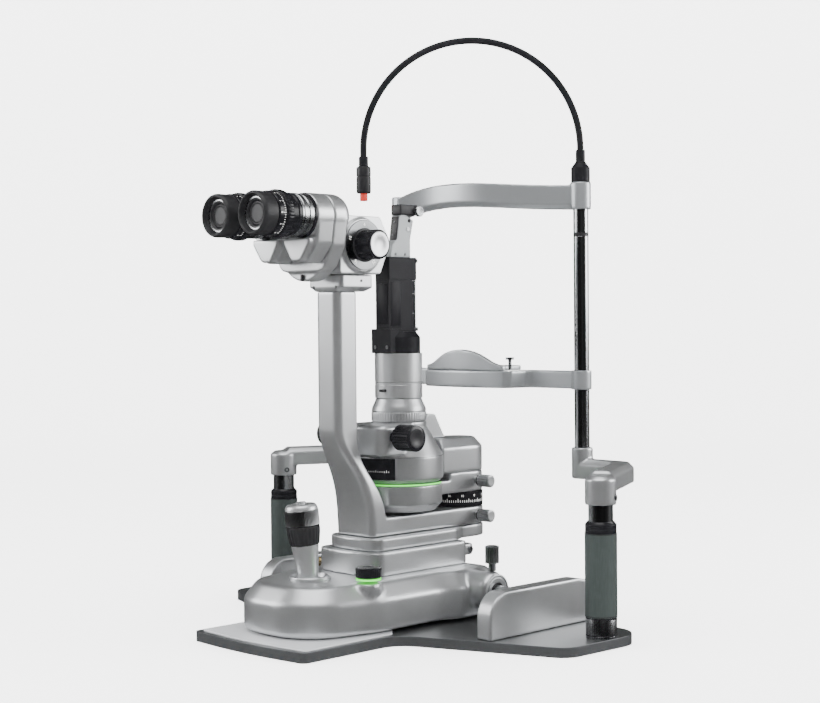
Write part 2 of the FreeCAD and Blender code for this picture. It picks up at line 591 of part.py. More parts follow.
def make_carriage_fittings():
    y, z = size["axle_y"], size["axle_z"]
    floor = slab(carriage_outline(size["carriage_wall"] + 0.1), "floor_thickness", size["carriage_bottom"])
    ear_clear = cylinder("ear_radius + 0.2", "2 * ear_end", -size["ear_end"], y, z, TURN_TO_X)
    keep(take(floor, ear_clear), "carriage_floor")
    jy, top = size["joystick_y"], size["collar_top"]
    ring = cylinder("collar_radius", "collar_top - carriage_top", 0, jy, size["carriage_top"])
    skirt = cylinder("collar_skirt_radius", "carriage_top - collar_skirt_bottom", 0, jy,
                     size["collar_skirt_bottom"])
    seat = cylinder("joystick_ball_radius + running_play", "60", 0, jy, 20)
    mouth = cone("joystick_ball_radius + running_play", "collar_mouth", "12", 0, jy, top - 12)
    keep(take(join(ring, skirt), seat, mouth), "joystick_collar")
    w = size["housing_half_width"]
    outline = both_sides([(0, -130, 150), (w, -119, 14), (w, 18, 10)])
    housing = slab(outline, "housing_top - carriage_top", size["carriage_top"])
    lug = slab(both_sides([(34, 17), (34, 40, 8)]), "12", size["carriage_top"] + 6)
    column_bore = cylinder("column_radius + running_play", "60", 0, size["column_y"], 50)
    inner = slab(both_sides([(w - 8, -108, 8), (w - 8, -70, 8)]), "housing_top - carriage_top - 5",
                 size["carriage_top"])
    keep(take(join(housing, lug), column_bore, inner), "elevation_housing")
    knob = join(cylinder("dimmer_radius", "dimmer_height - 1.5", size["dimmer_x"], size["dimmer_y"],
                         size["dimmer_bottom"]),
                cone("dimmer_radius", "dimmer_radius - 1.5", "1.5", size["dimmer_x"], size["dimmer_y"],
                     size["dimmer_bottom"] + size["dimmer_height"] - 1.5))
    keep(knob, "dimmer_knob")
    lx, low, tall = size["lock_x"] - 1, size["lock_bottom"], size["lock_height"]
    lock = join(cylinder("lock_neck_radius", "lock_bottom - carriage_top - 0.3", lx, y, size["carriage_top"] + 0.3),
                cylinder("lock_radius", "lock_height - 1", lx, y, low),
                cone("lock_radius", "lock_radius - 1", "1", lx, y, low + tall - 1))
    keep(lock, "base_lock_knob")


def lean():
    """The joystick's resting tilt: its top leans to the operator's left and towards the operator."""
    return FreeCAD.Rotation(V(1, -1, 0), size["joystick_lean"])


def on_stick(obj):
    """Moves a piece built on the stick's own axis to its place on the leaning stick."""
    stick = FreeCAD.Placement(V(0, size["joystick_y"], size["joystick_ball_z"]), lean())
    obj.Placement = stick.multiply(obj.Placement)
    return obj


def make_joystick():
    ball = doc.addObject("Part::Sphere", "ball")
    bind(ball, Radius="joystick_ball_radius")
    keep(place(ball, 0, size["joystick_y"], size["joystick_ball_z"]), "joystick_ball")
    low, waist, top = size["stem_bottom"], size["stem_waist"], size["stem_top"]
    stem = join(cone("stem_bottom_radius", "stem_waist_radius", "stem_waist - stem_bottom", z=low),
                cone("stem_waist_radius", "stem_top_radius", "stem_top - stem_waist", z=waist),
                cylinder("stem_core_radius", "ring_end - stem_top", z=top))
    keep(on_stick(stem), "joystick_stem")
    sleeve = take(cone("stem_top_radius", "ring_radius", "grip_end - stem_top - 0.4", z=top + 0.1),
                  cylinder("stem_core_radius + running_play", "ring_end", z=10))
    keep(on_stick(sleeve), "joystick_grip")
    start, end, crown = size["grip_end"], size["ring_end"], size["crown_end"]
    ring = join(cylinder("ring_radius", "ring_end - grip_end", z=start),
                cone("ring_radius", "crown_radius", "crown_end - ring_end", z=end))
    bore = cylinder("stem_core_radius + running_play", "ring_end - grip_end + 1.5", z=start - 1)
    well = cylinder("button_radius + running_play", "20", z=end)
    keep(on_stick(take(ring, bore, well)), "height_ring")
    keep(on_stick(cylinder("button_radius", "button_height", z=end + size["button_travel"] + 0.3)),
         "joystick_button")


# ---------------------------------------------------------------- platform and pivot
def make_platform():
    w, hub, py = size["platform_half_width"], size["hub_radius"], size["pivot_y"]
    outline = both_sides([(0, -121, 90), (w, -110, 12), (w, 6, 20), (hub, 26, 20), (hub, py + hub, hub - 0.1)])
    deck = slab(outline, "platform_top - platform_bottom", size["platform_bottom"])
    keep(deck, "platform")
    keep(cylinder("column_radius", "platform_bottom - column_bottom", 0, size["column_y"], size["column_bottom"]),
         "lift_column")
    post = cylinder("pivot_radius", "pivot_top - platform_top", 0, py, size["platform_top"])
    scale = cylinder("hub_radius", "scale_top - scale_bottom", 0, py, size["scale_bottom"])
    keep(join(post, scale), "pivot_post")


# ---------------------------------------------------------------- microscope
def arm_section(z, front, back, half):
    """A rounded rectangle at one level of the rising arm."""
    r = 7.5
    edges = rounded([(-half, -front, r), (half, -front, r), (half, -back, 3), (-half, -back, 3)])
    wire = Part.Wire([e.toShape() for e in edges])
    wire.translate(V(0, 0, z))
    return wire


def make_scope_arm():
    hub, py = size["hub_radius"], size["pivot_y"]
    outline = both_sides([(hub, -110, 8), (hub, py + hub, hub - 0.1)])
    low = slab(outline, "scope_arm_top - scope_arm_bottom", size["scope_arm_bottom"])
    front, back, half = size["column_front"], size["column_back"], size["column_half_width"]
    rise = [(size["scope_arm_bottom"], 110, 84, hub), (126, 111.5, 89, hub), (150, 117, 98, 26),
            (174, 129, 112, 22), (197, 142, back, 18), (212, front, back, half)]
    sweep = doc.addObject("Part::Feature", "sweep")
    sweep.Shape = Part.makeLoft([arm_section(*level) for level in rise], True, False)
    r = 7.5
    column = slab(both_sides([(half, -front, r), (half, -back, 3)]), "column_top - 212", 212)
    bore = cylinder("pivot_radius + running_play", "40", 0, py, 90)
    keep(take(join(low, sweep, column), bore), "microscope_arm")
    w, top = size["mount_half_width"], size["mount_top"]
    outline = both_sides([(w, -size["mount_front"], 4), (w, -size["mount_back"], 4)])
    cushion = slab(outline, "mount_top - column_top - 4", top - (top - size["column_top"] - 4))
    taper = doc.addObject("Part::Feature", "taper")
    wide = arm_section(size["column_top"] + 4, size["mount_front"], size["mount_back"], w)
    slim = arm_section(size["column_top"], size["mount_front"] - 1, size["mount_back"] + 6, w - 6)
    taper.Shape = Part.makeLoft([slim, wide], True, True)
    keep(join(cushion, taper), "head_mount")


def make_changer():
    front, back = -size["changer_front"], -size["changer_back"]
    top, low = size["changer_top"], size["changer_bottom"]
    outline = [(front, low, 2), (front, top, 3), (back - 11, top, 3), (back, top - 19, 5), (back, low + 26, 5),
               (back - 11, low, 3)]
    shell = side_slab(outline, "2 * changer_half_width")
    dy, dz = size["drum_y"], size["drum_z"]
    dial = cylinder("dial_radius", "dial_height", size["changer_half_width"], dy, dz, TURN_TO_X)
    left = cylinder("dial_radius", "dial_height", -size["changer_half_width"] - size["dial_height"], dy, dz,
                    TURN_TO_X)
    room = cylinder("drum_radius + 0.5", "2 * drum_half_length + 1", -size["drum_half_length"] - 0.5, dy, dz,
                    TURN_TO_X)
    shaft = cylinder("8 + running_play", "100", -50, dy, dz, TURN_TO_X)
    paths = []
    for x in (-size["light_path_x"], size["light_path_x"]):
        paths.append(cylinder("light_path_radius", "80", x, -80, size["turn_z"], TURN_TO_FRONT))
    keep(take(join(shell, dial, left), room, shaft, *paths), "changer_housing")
    drum = cylinder("drum_radius", "2 * drum_half_length", -size["drum_half_length"], dy, dz, TURN_TO_X)
    bores = []
    for x in (-size["light_path_x"], size["light_path_x"]):
        for angle in (90, 150, 210):
            tilt = FreeCAD.Rotation(V(1, 0, 0), angle)
            start = tilt.multVec(V(0, 0, -30))
            bores.append(cylinder("light_path_radius - 1.5", "60", x, dy + start.y, dz + start.z, tilt))
    shaft = cylinder("8", "2 * changer_half_width + 2 * dial_height + 2", -size["changer_half_width"]
                     - size["dial_height"] - 1, dy, dz, TURN_TO_X)
    keep(join(take(drum, *bores), shaft), "magnification_drum")
    inner = size["changer_half_width"] + size["dial_height"] + 1
    knob = join(cylinder("knob_radius - 1", f"knob_end - {inner} - 2", inner, dy, dz, TURN_TO_X),
                cylinder("knob_radius", "2", size["knob_end"] - 2, dy, dz, TURN_TO_X))
    keep(group(knob, mirrored(knob)), "magnification_knobs")
    barrel = cylinder("objective_radius", "objective_length", 0, back + size["objective_length"], size["turn_z"],
                      TURN_TO_FRONT)
    well = cylinder("objective_radius - 4", "4", 0, back + size["objective_length"] + 1, size["turn_z"],
                    TURN_TO_FRONT)
    paths = []
    for x in (-size["light_path_x"], size["light_path_x"]):
        paths.append(cylinder("light_path_radius", "40", x, back + 20, size["turn_z"], TURN_TO_FRONT))
    keep(take(barrel, well, *paths), "objective")


def barrel_along(radius, start, end, x, z, rear_round=0.0):
    """A barrel facing the operator from depth start (patient side) to end; its rear rim is stepped round."""
    if not rear_round:
        return cylinder(f"{radius}", f"{start - end}", x, start, z, TURN_TO_FRONT)
    pieces = [cylinder(f"{radius}", f"{start - rear_round - end}", x, start - rear_round, z, TURN_TO_FRONT)]
    steps = 6
    for i in range(steps):
        a, b = math.pi / 2 * i / steps, math.pi / 2 * (i + 1) / steps
        wide, slim = radius - rear_round * (1 - math.cos(a)), radius - rear_round * (1 - math.cos(b))
        depth = rear_round * (math.sin(b) - math.sin(a))
        at = start - rear_round + rear_round * math.sin(b)
        pieces.append(cone(f"{slim}", f"{wide}", f"{depth}", x, at, z, TURN_TO_FRONT))
    return join(*pieces)


def make_head():
    """The fixed part of the binocular head, behind the seam of the turning prism housings."""
    seam, front = -size["prism_seam"], -size["changer_front"] - 0.2
    eye, ez, tz = size["eye_half_distance"], size["eye_z"], size["turn_z"]
    barrels = [barrel_along(size["prism_barrel_radius"], front + 6, seam, x, ez, 14) for x in (-eye, eye)]
    bridge_top = ez + size["prism_barrel_radius"]
    bridge = pad("XZ_Plane", [(-eye, ez - 20), (eye, ez - 20), (eye, bridge_top), (-eye, bridge_top)],
                 f"{front - 9 - seam}")
    place(bridge, 0, front - 9, 0)
    lower = both_sides([(31, tz - 26, 10), (46.5, tz - 2, 14), (50.6, ez - 2)])
    skirt = pad("XZ_Plane", lower, f"{front - 3 - seam}")
    place(skirt, 0, front - 3, 0)
    disc = cylinder("body_disc_radius", f"{front - seam - 2}", 0, front, tz, TURN_TO_FRONT)
    clear = block("2 * changer_half_width + 20", "60", "changer_top - changer_bottom + 40.2",
                  -size["changer_half_width"] - 10, front, size["changer_top"] - size["changer_top"] + 350)
    bind(clear, Height="changer_top - 350 + 0.2")
    paths = []
    for x in (-size["light_path_x"], size["light_path_x"]):
        paths.append(cylinder("light_path_radius", "60", x, front + 10, tz, TURN_TO_FRONT))
    keep(take(join(*barrels, bridge, skirt, disc), clear, *paths), "head_housing")


def make_prism_housing():
    eye, ez, tz = size["eye_half_distance"], size["eye_z"], size["turn_z"]
    seam, front = -size["prism_seam"] - 0.3, -size["prism_front"]
    barrel = barrel_along(size["prism_barrel_radius"], seam, -size["prism_barrel_front"], eye, ez)
    lower = [(3.5, tz + 20, 4), (3.5, tz + 1, 2), (15.5, tz - 18, 6), (31, tz - 18, 10), (46.5, tz - 1, 14),
             (50.6, tz + 26, 4)]
    web = place(pad("XZ_Plane", lower, f"{seam + size['prism_barrel_front'] - 2}"), 0, seam, 0)
    face = [(4.5, tz + 6), (4.5, tz + 1, 2), (15.8, tz - 17, 5), (30, tz - 17, 8), (43, tz + 1, 4), (43, tz + 6)]
    facet = place(pad("XZ_Plane", face, f"{-front - 180}"), 0, -180, 0)
    core = cylinder("ocular_bore", "30", eye, seam + 1, ez, TURN_TO_FRONT)
    right = take(join(barrel, web, facet), core)
    keep(right, "prism_housing_right")
    keep(mirrored(right), "prism_housing_left")


def make_oculars():
    """The ocular barrel stays in its prism housing; the diopter ring with the eyecup turns on it."""
    eye, ez = size["eye_half_distance"], size["eye_z"]
    start = -size["prism_barrel_front"]
    long = size["ocular_length"]
    steps = [("ocular_barrel_radius", 8), ("ocular_barrel_radius - 2.5", 5), ("ocular_barrel_radius - 0.5", 9),
             ("ocular_barrel_radius - 2", long - 22)]
    pieces, at = [], start
    for radius, depth in steps:
        pieces.append(cylinder(radius, f"{depth}", eye, at, ez, TURN_TO_FRONT))
        at -= depth
    tube_end = at - size["diopter_length"] + 12
    pieces.append(cylinder("ocular_tube_radius", f"{at - tube_end}", eye, at, ez, TURN_TO_FRONT))
    bore = cylinder("ocular_bore", "100", eye, start + 1, ez, TURN_TO_FRONT)
    ocular = take(join(*pieces), bore)
    keep(ocular, "ocular_right")
    keep(mirrored(ocular), "ocular_left")
    rim = at - 0.3
    ring = join(cylinder("diopter_radius", "15", eye, rim, ez, TURN_TO_FRONT),
                cylinder("diopter_radius - 2.5", "5", eye, rim - 15, ez, TURN_TO_FRONT),
                cylinder("eyecup_radius", f"{size['diopter_length'] - 20}", eye, rim - 20, ez, TURN_TO_FRONT))
    inner = cylinder("ocular_tube_radius + running_play", "diopter_length - 11", eye, rim + 1, ez, TURN_TO_FRONT)
    funnel = cone("ocular_bore - 3", "eyecup_radius - 2.5", "12", eye, rim - size["diopter_length"] + 12, ez,
                  TURN_TO_FRONT)
    dioptre = take(ring, inner, funnel)
    keep(dioptre, "diopter_ring_right")
    keep(mirrored(dioptre), "diopter_ring_left")


def arm_knob(label, z):
    """A clamp knob that points away from an arm's hub."""
    x, y = size["arm_knob_start"], size["pivot_y"]
    neck = cylinder("arm_knob_radius - 2.5", "6", x, y, z, TURN_TO_X)
    grip = cylinder("arm_knob_radius", "arm_knob_length - 7", x + 6, y, z, TURN_TO_X)
    end = cone("arm_knob_radius", "arm_knob_radius - 1", "1", x + size["arm_knob_length"] - 1, y, z, TURN_TO_X)
    keep(join(neck, grip, end), label)


# ---------------------------------------------------------------- illumination
def make_lamp_arm():
    hub, py, ty = size["hub_radius"], size["pivot_y"], size["tower_y"]
    low = size["lamp_arm_bottom"]
    bar = slab(both_sides([(hub - 2, ty, 2), (hub - 2, 10), (hub, py + hub, hub - 0.1)]),
               "lamp_arm_top - lamp_arm_bottom - 7.5", low)
    raised = slab(both_sides([(hub - 2, 10), (hub, py + hub, hub - 0.1)]), "lamp_arm_top - lamp_arm_bottom", low)
    bottom, taper = size["lower_drum_bottom"], size["lower_drum_taper"]
    foot = cone("lower_drum_foot_radius", "lower_drum_radius", "lower_drum_taper", 0, ty, bottom)
    drum = cylinder("lower_drum_radius", "glow_bottom - lower_drum_bottom - lower_drum_taper", 0, ty, bottom + taper)
    room = cylinder("lamp_bore", "60", 0, ty, bottom + 5)
    neck = cylinder("upper_drum_radius + 1", "30", 0, ty, size["glow_bottom"])
    bore = cylinder("pivot_radius + running_play", "60", 0, py, 120)
    keep(take(join(bar, raised, foot, drum), room, bore, neck), "illumination_arm")
    ring = take(cylinder("glow_radius", "glow_top - glow_bottom", 0, ty, size["glow_bottom"]),
                cylinder("lamp_bore + 8", "20", 0, ty, size["glow_bottom"] - 5))
    keep(ring, "light_ring")
    box = bevelled(both_sides([(hub - 3, -4), (hub - 1, 30, 20), (hub, py + hub, hub - 0.1)]),
                   "lamp_box_top - lamp_arm_top", 9, "10", size["lamp_arm_top"])
    room = cylinder("upper_drum_radius + 0.6", "100", 0, ty, 100)
    keep(take(box, room), "lamp_housing")
    board = cylinder("lamp_bore - 4", "2", 0, ty, bottom + 5.2)
    dome = doc.addObject("Part::Sphere", "dome")
    dome.Radius = 6
    dome.Angle1 = 0
    place(dome, 0, ty, bottom + 7.2)
    sink = cylinder("9", "3", 0, ty, bottom + 7.2)
    keep(join(board, sink, dome), "lamp_module")


def make_slit_housing():
    ty = size["tower_y"]
    gap, top = size["drum_gap_top"], size["upper_drum_top"]
    spigot = cylinder("lamp_bore + 7.9", "drum_gap_top - glow_bottom - 0.2", 0, ty, size["glow_bottom"] + 0.2)
    groove = cylinder("upper_drum_radius - 3", "drum_gap_top - glow_top", 0, ty, size["glow_top"])
    drum = cylinder("upper_drum_radius", "upper_drum_top - drum_gap_top", 0, ty, gap)
    shoulder = cone("upper_drum_radius", "cone_top_radius", "cone_top - upper_drum_top", 0, ty, top)
    neck = cylinder("cone_top_radius - 1.5", "neck_top - cone_top - 0.3", 0, ty, size["cone_top"])
    w, front = size["control_half_width"], -size["control_front"]
    control = bevelled(both_sides([(w, front, 12), (w, -50, 4)]), "control_top - control_bottom", 3, "3",
                       size["control_bottom"])
    rest = size["lamp_box_top"] + 0.4
    fin = side_slab([(ty + 20, 190), (4, 190), (4, rest), (22, rest), (22, rest + 2), (8, 222, 2), (-4, 222, 2),
                     (ty + 20, 200)], "12")
    core = cylinder("core_bore", "100", 0, ty, 145)
    shaft = cylinder("5 + running_play", "160", -80, size["slit_axis_y"], size["slit_axis_z"], TURN_TO_X)
    body = take(join(spigot, groove, drum, shoulder, neck, control, fin), core, shaft)
    keep(body, "slit_housing")
    x0, x1 = size["slit_knob_start"], size["slit_knob_end"]
    axis = size["slit_axis_y"], size["slit_axis_z"]
    rod = cylinder("5", "2 * slit_knob_start + 2", -x0 - 1, *axis, TURN_TO_X)
    right = join(cylinder("slit_knob_radius", "slit_knob_end - slit_knob_start - 2", x0, *axis, TURN_TO_X),
                 cone("slit_knob_radius", "slit_knob_radius - 2", "2", x1 - 2, *axis, TURN_TO_X))
    keep(join(rod, right, mirrored(right)), "slit_knobs")


def make_tower():
    ty = size["tower_y"]
    bore = "core_radius + running_play"
    low, top = size["neck_top"], size["dial_top"]
    dial = join(cylinder("dial_outer", "13", 0, ty, low),
                cone("dial_outer", "dial_outer - 1.6", "6", 0, ty, low + 13),
                cone("dial_outer - 1.6", "filter_radius", "dial_top - neck_top - 19", 0, ty, low + 19))
    keep(take(dial, cylinder(bore, "60", 0, ty, low - 5)), "aperture_dial")
    ring = take(cylinder("filter_radius", "filter_top - dial_top - 0.6", 0, ty, top + 0.3),
                cylinder(bore, "60", 0, ty, top - 5))
    keep(ring, "filter_ring")
    core = cylinder("core_radius", "filter_top - neck_top", 0, ty, low)
    sleeve = cylinder("filter_radius", "column_sleeve_top - filter_top", 0, ty, size["filter_top"])
    light = cylinder("core_bore", "100", 0, ty, 200)
    keep(take(join(core, sleeve), light), "tower_column")
    start = size["column_sleeve_top"]
    collar = join(cylinder("tube_collar_radius", "tube_collar_top - column_sleeve_top - 6", 0, ty, start),
                  cone("tube_collar_radius", "tube_collar_radius - 4.5", "6", 0, ty, size["tube_collar_top"] - 6))
    back = size["tube_y"]
    tube = cylinder("tube_radius", "tube_top - column_sleeve_top", 0, back, start)
    w, front = size["box_half_width"], -size["box_front"]
    box = block("2 * box_half_width", "box_front - box_back", "box_top - box_bottom", -w, front,
                size["box_bottom"])
    cap = slab(both_sides([(w + 0.4, front - 0.4, 1), (w + 0.4, back + 9, w)]), "tube_top - cap_bottom",
               size["cap_bottom"])
    clip = block("2 * clip_half_width", "clip_front - clip_back", "clip_top - clip_bottom",
                 -size["clip_half_width"], -size["clip_front"], size["clip_bottom"])
    light = cylinder("tube_bore", "200", 0, ty, 280)
    keep(take(join(collar, tube, box, cap, clip), light), "tower_tube")
    head = [(-58, 391.2), (-28, 391.2), (-28, 410, 20), (-23, 431, 2), (-38, 438, 2), (-44, 435), (-47.5, 411),
            (-55, 404)]
    block_head = side_slab(head, "2 * head_half_width")
    window = side_slab([(-44, 400), (-10, 400), (-10, 428), (-36, 428)], "2 * head_half_width - 4")
    keep(take(block_head, window), "prism_head")
    lens = [cylinder("core_bore - 0.3", "4", 0, ty, z) for z in (165, 225)]
    lens.append(cylinder("tube_bore - 0.3", "4", 0, ty, 350))
    prism = side_slab([(-42, 400.4), (-29, 400.4), (-29, 422)], "2 * head_half_width - 5")
    keep(group(*lens, prism), "tower_optics")


def check_and_write():
    """Stops on any failed object or bad shape, then writes one STEP file for each sub-part."""
    doc.recompute()
    for obj in doc.Objects:
        if "Invalid" in obj.State or "Error" in obj.State:
            raise SystemExit(f"{obj.Name} ({obj.Label}) failed: {obj.getStatusString()}")
    for obj in nodes:
        shape = obj.Shape
        if shape.isNull() or not shape.isValid() or not shape.Solids:
            raise SystemExit(f"{obj.Label} has no valid solid")
    os.makedirs("parts", exist_ok=True)
    for obj in nodes:
        obj.Shape.exportStep(f"parts/{obj.Label}.step")
        print(f"{obj.Label}: {len(obj.Shape.Solids)} solid(s), {obj.Shape.Volume / 1000:.1f} cm3")
    print(len(nodes), "sub-parts")


make_base()
make_rails()
make_racks()
make_axle()
make_pillars()
make_brackets()
make_rods()
make_forehead_band()
make_chin_rest()
make_fixation_light()
make_carriage()
make_carriage_fittings()
make_joystick()
make_platform()
make_scope_arm()
make_changer()
make_head()
make_prism_housing()
make_oculars()
arm_knob("scope_lock_knob", size["arm_knob_z_low"])
arm_knob("lamp_lock_knob", size["arm_knob_z_high"])
make_lamp_arm()
make_slit_housing()
make_tower()
check_and_write()
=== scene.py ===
import json
import math

import bmesh
import bpy
from mathutils import Matrix, Vector


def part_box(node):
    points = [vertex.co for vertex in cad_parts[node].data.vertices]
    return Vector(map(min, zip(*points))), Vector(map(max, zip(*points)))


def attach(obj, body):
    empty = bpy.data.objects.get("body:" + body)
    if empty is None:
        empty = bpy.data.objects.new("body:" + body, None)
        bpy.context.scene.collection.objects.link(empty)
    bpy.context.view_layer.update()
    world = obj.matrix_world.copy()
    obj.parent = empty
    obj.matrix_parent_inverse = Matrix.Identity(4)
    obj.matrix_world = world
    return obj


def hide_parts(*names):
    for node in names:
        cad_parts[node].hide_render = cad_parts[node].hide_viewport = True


# Looks of a slit lamp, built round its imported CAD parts. Metres, +X to the operator's right,
# +Y towards the patient, +Z up.

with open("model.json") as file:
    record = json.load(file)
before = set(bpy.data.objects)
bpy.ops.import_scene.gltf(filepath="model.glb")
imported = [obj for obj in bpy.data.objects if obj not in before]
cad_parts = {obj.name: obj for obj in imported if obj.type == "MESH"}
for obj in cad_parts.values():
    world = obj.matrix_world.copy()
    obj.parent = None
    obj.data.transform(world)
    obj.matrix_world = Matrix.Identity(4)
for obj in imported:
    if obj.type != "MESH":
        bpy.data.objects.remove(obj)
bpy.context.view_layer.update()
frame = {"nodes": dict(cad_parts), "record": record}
MM = 0.001
X_AXIS, Y_AXIS, Z_AXIS = Vector((1, 0, 0)), Vector((0, 1, 0)), Vector((0, 0, 1))
SIDES = ((1, "right"), (-1, "left"))


# ---------------------------------------------------------------- materials
def node(tree, kind, **inputs):
    """A shader node with its named sockets set to a value or linked to another socket."""
    made = tree.nodes.new(kind)
    for name, value in inputs.items():
        socket = made.inputs[name.replace("_", " ")]
        if isinstance(value, bpy.types.NodeSocket):
            tree.links.new(value, socket)
        else:
            socket.default_value = value
    return made


def ramp(tree, factor, stops):
    """The colour output of a ramp with (position, colour) stops."""
    made = node(tree, "ShaderNodeValToRGB", Fac=factor)
    elements = made.color_ramp.elements
    while len(elements) < len(stops):
        elements.new(0.5)
    for element, (position, color) in zip(elements, stops):
        element.position = position
        element.color = (*color, 1)
    return made.outputs["Color"]


def shade(color, amount):
    """A colour made lighter, or darker where amount is below zero."""
    return tuple(min(1.0, max(0.0, c * (1 + amount))) for c in color)


def finish(name, color, metallic=0.0, rough=0.4, spread=0.08, grain=900, depth=0.02, tint=0.05,
           stretch=(1, 1, 1), edge=0.5, pattern="NOISE", **sockets):
    """A procedural finish: uneven colour and gloss, a fine grain in relief, and softened edges."""
    made = bpy.data.materials.new(name)
    made.use_nodes = True
    tree = made.node_tree
    shader = tree.nodes["Principled BSDF"]
    place = tree.nodes.new("ShaderNodeTexCoord").outputs["Object"]
    drawn = node(tree, "ShaderNodeMapping", Vector=place, Scale=stretch).outputs["Vector"]
    cloud = node(tree, "ShaderNodeTexNoise", Vector=place, Scale=14, Detail=5, Roughness=0.6).outputs["Fac"]
    fine = node(tree, "ShaderNodeTexNoise", Vector=drawn, Scale=grain, Detail=3, Roughness=0.65).outputs["Fac"]
    mix = node(tree, "ShaderNodeMath", Value=cloud)
    mix.operation = "MULTIPLY_ADD"
    mix.inputs[1].default_value = 0.6
    tree.links.new(fine, mix.inputs[2])
    paint = ramp(tree, mix.outputs[0], [(0.45, shade(color, -tint)), (0.8, color), (1.0, shade(color, tint))])
    tree.links.new(paint, shader.inputs["Base Color"])
    gloss = node(tree, "ShaderNodeMapRange", Value=mix.outputs[0])
    gloss.inputs["From Min"].default_value = 0.45
    gloss.inputs["From Max"].default_value = 1.15
    gloss.inputs["To Min"].default_value = max(0.02, rough - spread)
    gloss.inputs["To Max"].default_value = min(1.0, rough + spread)
    tree.links.new(gloss.outputs["Result"], shader.inputs["Roughness"])
    soft = node(tree, "ShaderNodeBevel", Radius=edge * MM)
    soft.samples = 4
    height = fine
    if pattern == "CELLS":
        height = node(tree, "ShaderNodeTexVoronoi", Vector=drawn, Scale=grain * 0.6).outputs["Distance"]
    relief = node(tree, "ShaderNodeBump", Height=height, Normal=soft.outputs["Normal"], Strength=0.35,
                  Distance=depth * MM)
    tree.links.new(relief.outputs["Normal"], shader.inputs["Normal"])
    shader.inputs["Metallic"].default_value = metallic
    for key, value in sockets.items():
        shader.inputs[key.replace("_", " ")].default_value = value
    return made


FINISHES = {
    "base_paint": finish("base_paint", (0.13, 0.135, 0.14), 0.85, 0.36, grain=1500, depth=0.012, tint=0.12, edge=1.2),
    "pad_plastic": finish("pad_plastic", (0.50, 0.51, 0.525), 0.2, 0.45, grain=1200, depth=0.02, tint=0.03),
    "silver_paint": finish("silver_paint", (0.56, 0.57, 0.58), 0.93, 0.35, 0.05, grain=1700, depth=0.008, tint=0.08,
                           edge=1.0),
    "cool_grey": finish("cool_grey", (0.40, 0.415, 0.43), 0.85, 0.33, grain=1500, depth=0.008, tint=0.05, edge=0.8),
    "grip_anodised": finish("grip_anodised", (0.062, 0.075, 0.072), 0.7, 0.36, grain=1000, depth=0.012, tint=0.12,
                            stretch=(1, 1, 0.1)),
    "dark_plastic": finish("dark_plastic", (0.006, 0.006, 0.007), 0.0, 0.34, grain=1300, depth=0.015, tint=0.3,
                           Specular_IOR_Level=0.08),
    "chrome_rod": finish("chrome_rod", (0.66, 0.67, 0.68), 1.0, 0.22, 0.03, grain=500, depth=0.0006, tint=0.04,
                         stretch=(1, 1, 0.02)),
    "bare_steel": finish("bare_steel", (0.50, 0.51, 0.52), 1.0, 0.27, 0.05, grain=900, depth=0.001, tint=0.08),
    "black_knob": finish("black_knob", (0.005, 0.005, 0.006), 0.0, 0.24, grain=1100, depth=0.008, tint=0.3,
                         Specular_IOR_Level=0.3),
    "soft_rubber": finish("soft_rubber", (0.007, 0.007, 0.008), 0.0, 0.5, grain=1400, depth=0.03, tint=0.25,
                          pattern="CELLS", Specular_IOR_Level=0.35),
    "white_plastic": finish("white_plastic", (0.78, 0.78, 0.76), 0.0, 0.45, grain=900, depth=0.01, tint=0.03),
    "green_light": finish("green_light", (0.08, 0.45, 0.06), 0.0, 0.4, grain=600, depth=0.005, tint=0.15,
                          Emission_Color=(0.10, 0.80, 0.06, 1), Emission_Strength=0.9),
    "optical_glass": finish("optical_glass", (0.9, 0.96, 1.0), 0.0, 0.04, 0.02, grain=200, depth=0.001, tint=0.02,
                            Transmission_Weight=1.0, IOR=1.5),
    "brass_part": finish("brass_part", (0.62, 0.47, 0.22), 1.0, 0.3, grain=800, depth=0.004, tint=0.12),
    "bright_aluminium": finish("bright_aluminium", (0.66, 0.67, 0.68), 0.92, 0.36, 0.05, grain=1600, depth=0.002,
                               tint=0.05),
    "red_light": finish("red_light", (0.30, 0.008, 0.002), 0.0, 0.45, grain=500, depth=0.005, tint=0.1,
                        Emission_Color=(1, 0.03, 0.0, 1), Emission_Strength=0.2),
    "lens_coating": finish("lens_coating", (0.002, 0.022, 0.022), 0.0, 0.08, 0.02, grain=120, depth=0.0004, tint=0.6,
                           Specular_IOR_Level=0.06),
    "dark_steel": finish("dark_steel", (0.20, 0.205, 0.21), 1.0, 0.30, grain=1200, depth=0.001, tint=0.12),
    "head_grey": finish("head_grey", (0.20, 0.21, 0.215), 0.35, 0.42, grain=1500, depth=0.008, tint=0.06, edge=0.6),
    "knob_steel": finish("knob_steel", (0.50, 0.51, 0.52), 1.0, 0.32, grain=1200, depth=0.001, tint=0.10),
    "satin_black": finish("satin_black", (0.008, 0.008, 0.009), 0.0, 0.38, grain=1600, depth=0.012, tint=0.25,
                          Specular_IOR_Level=0.35),
}


def dress_cad_nodes():
    """Gives every CAD node the finish of its slot in the record."""
    for part in frame["record"]["subparts"]:
        mesh = frame["nodes"][part["node"]].data
        mesh.materials.clear()
        mesh.materials.append(FINISHES[part["material_slot"]])


# ---------------------------------------------------------------- mesh helpers
def mesh_of(bm, name, recalculate=True):
    """The finished mesh of a bmesh, with its faces turned outwards."""
    if recalculate:
        bmesh.ops.recalc_face_normals(bm, faces=bm.faces[:])
    mesh = bpy.data.meshes.new(name)
    bm.to_mesh(mesh)
    bm.free()
    return mesh


def middle(name):
    """The middle of a CAD node's box."""
    low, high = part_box(name)
    return (low + high) / 2


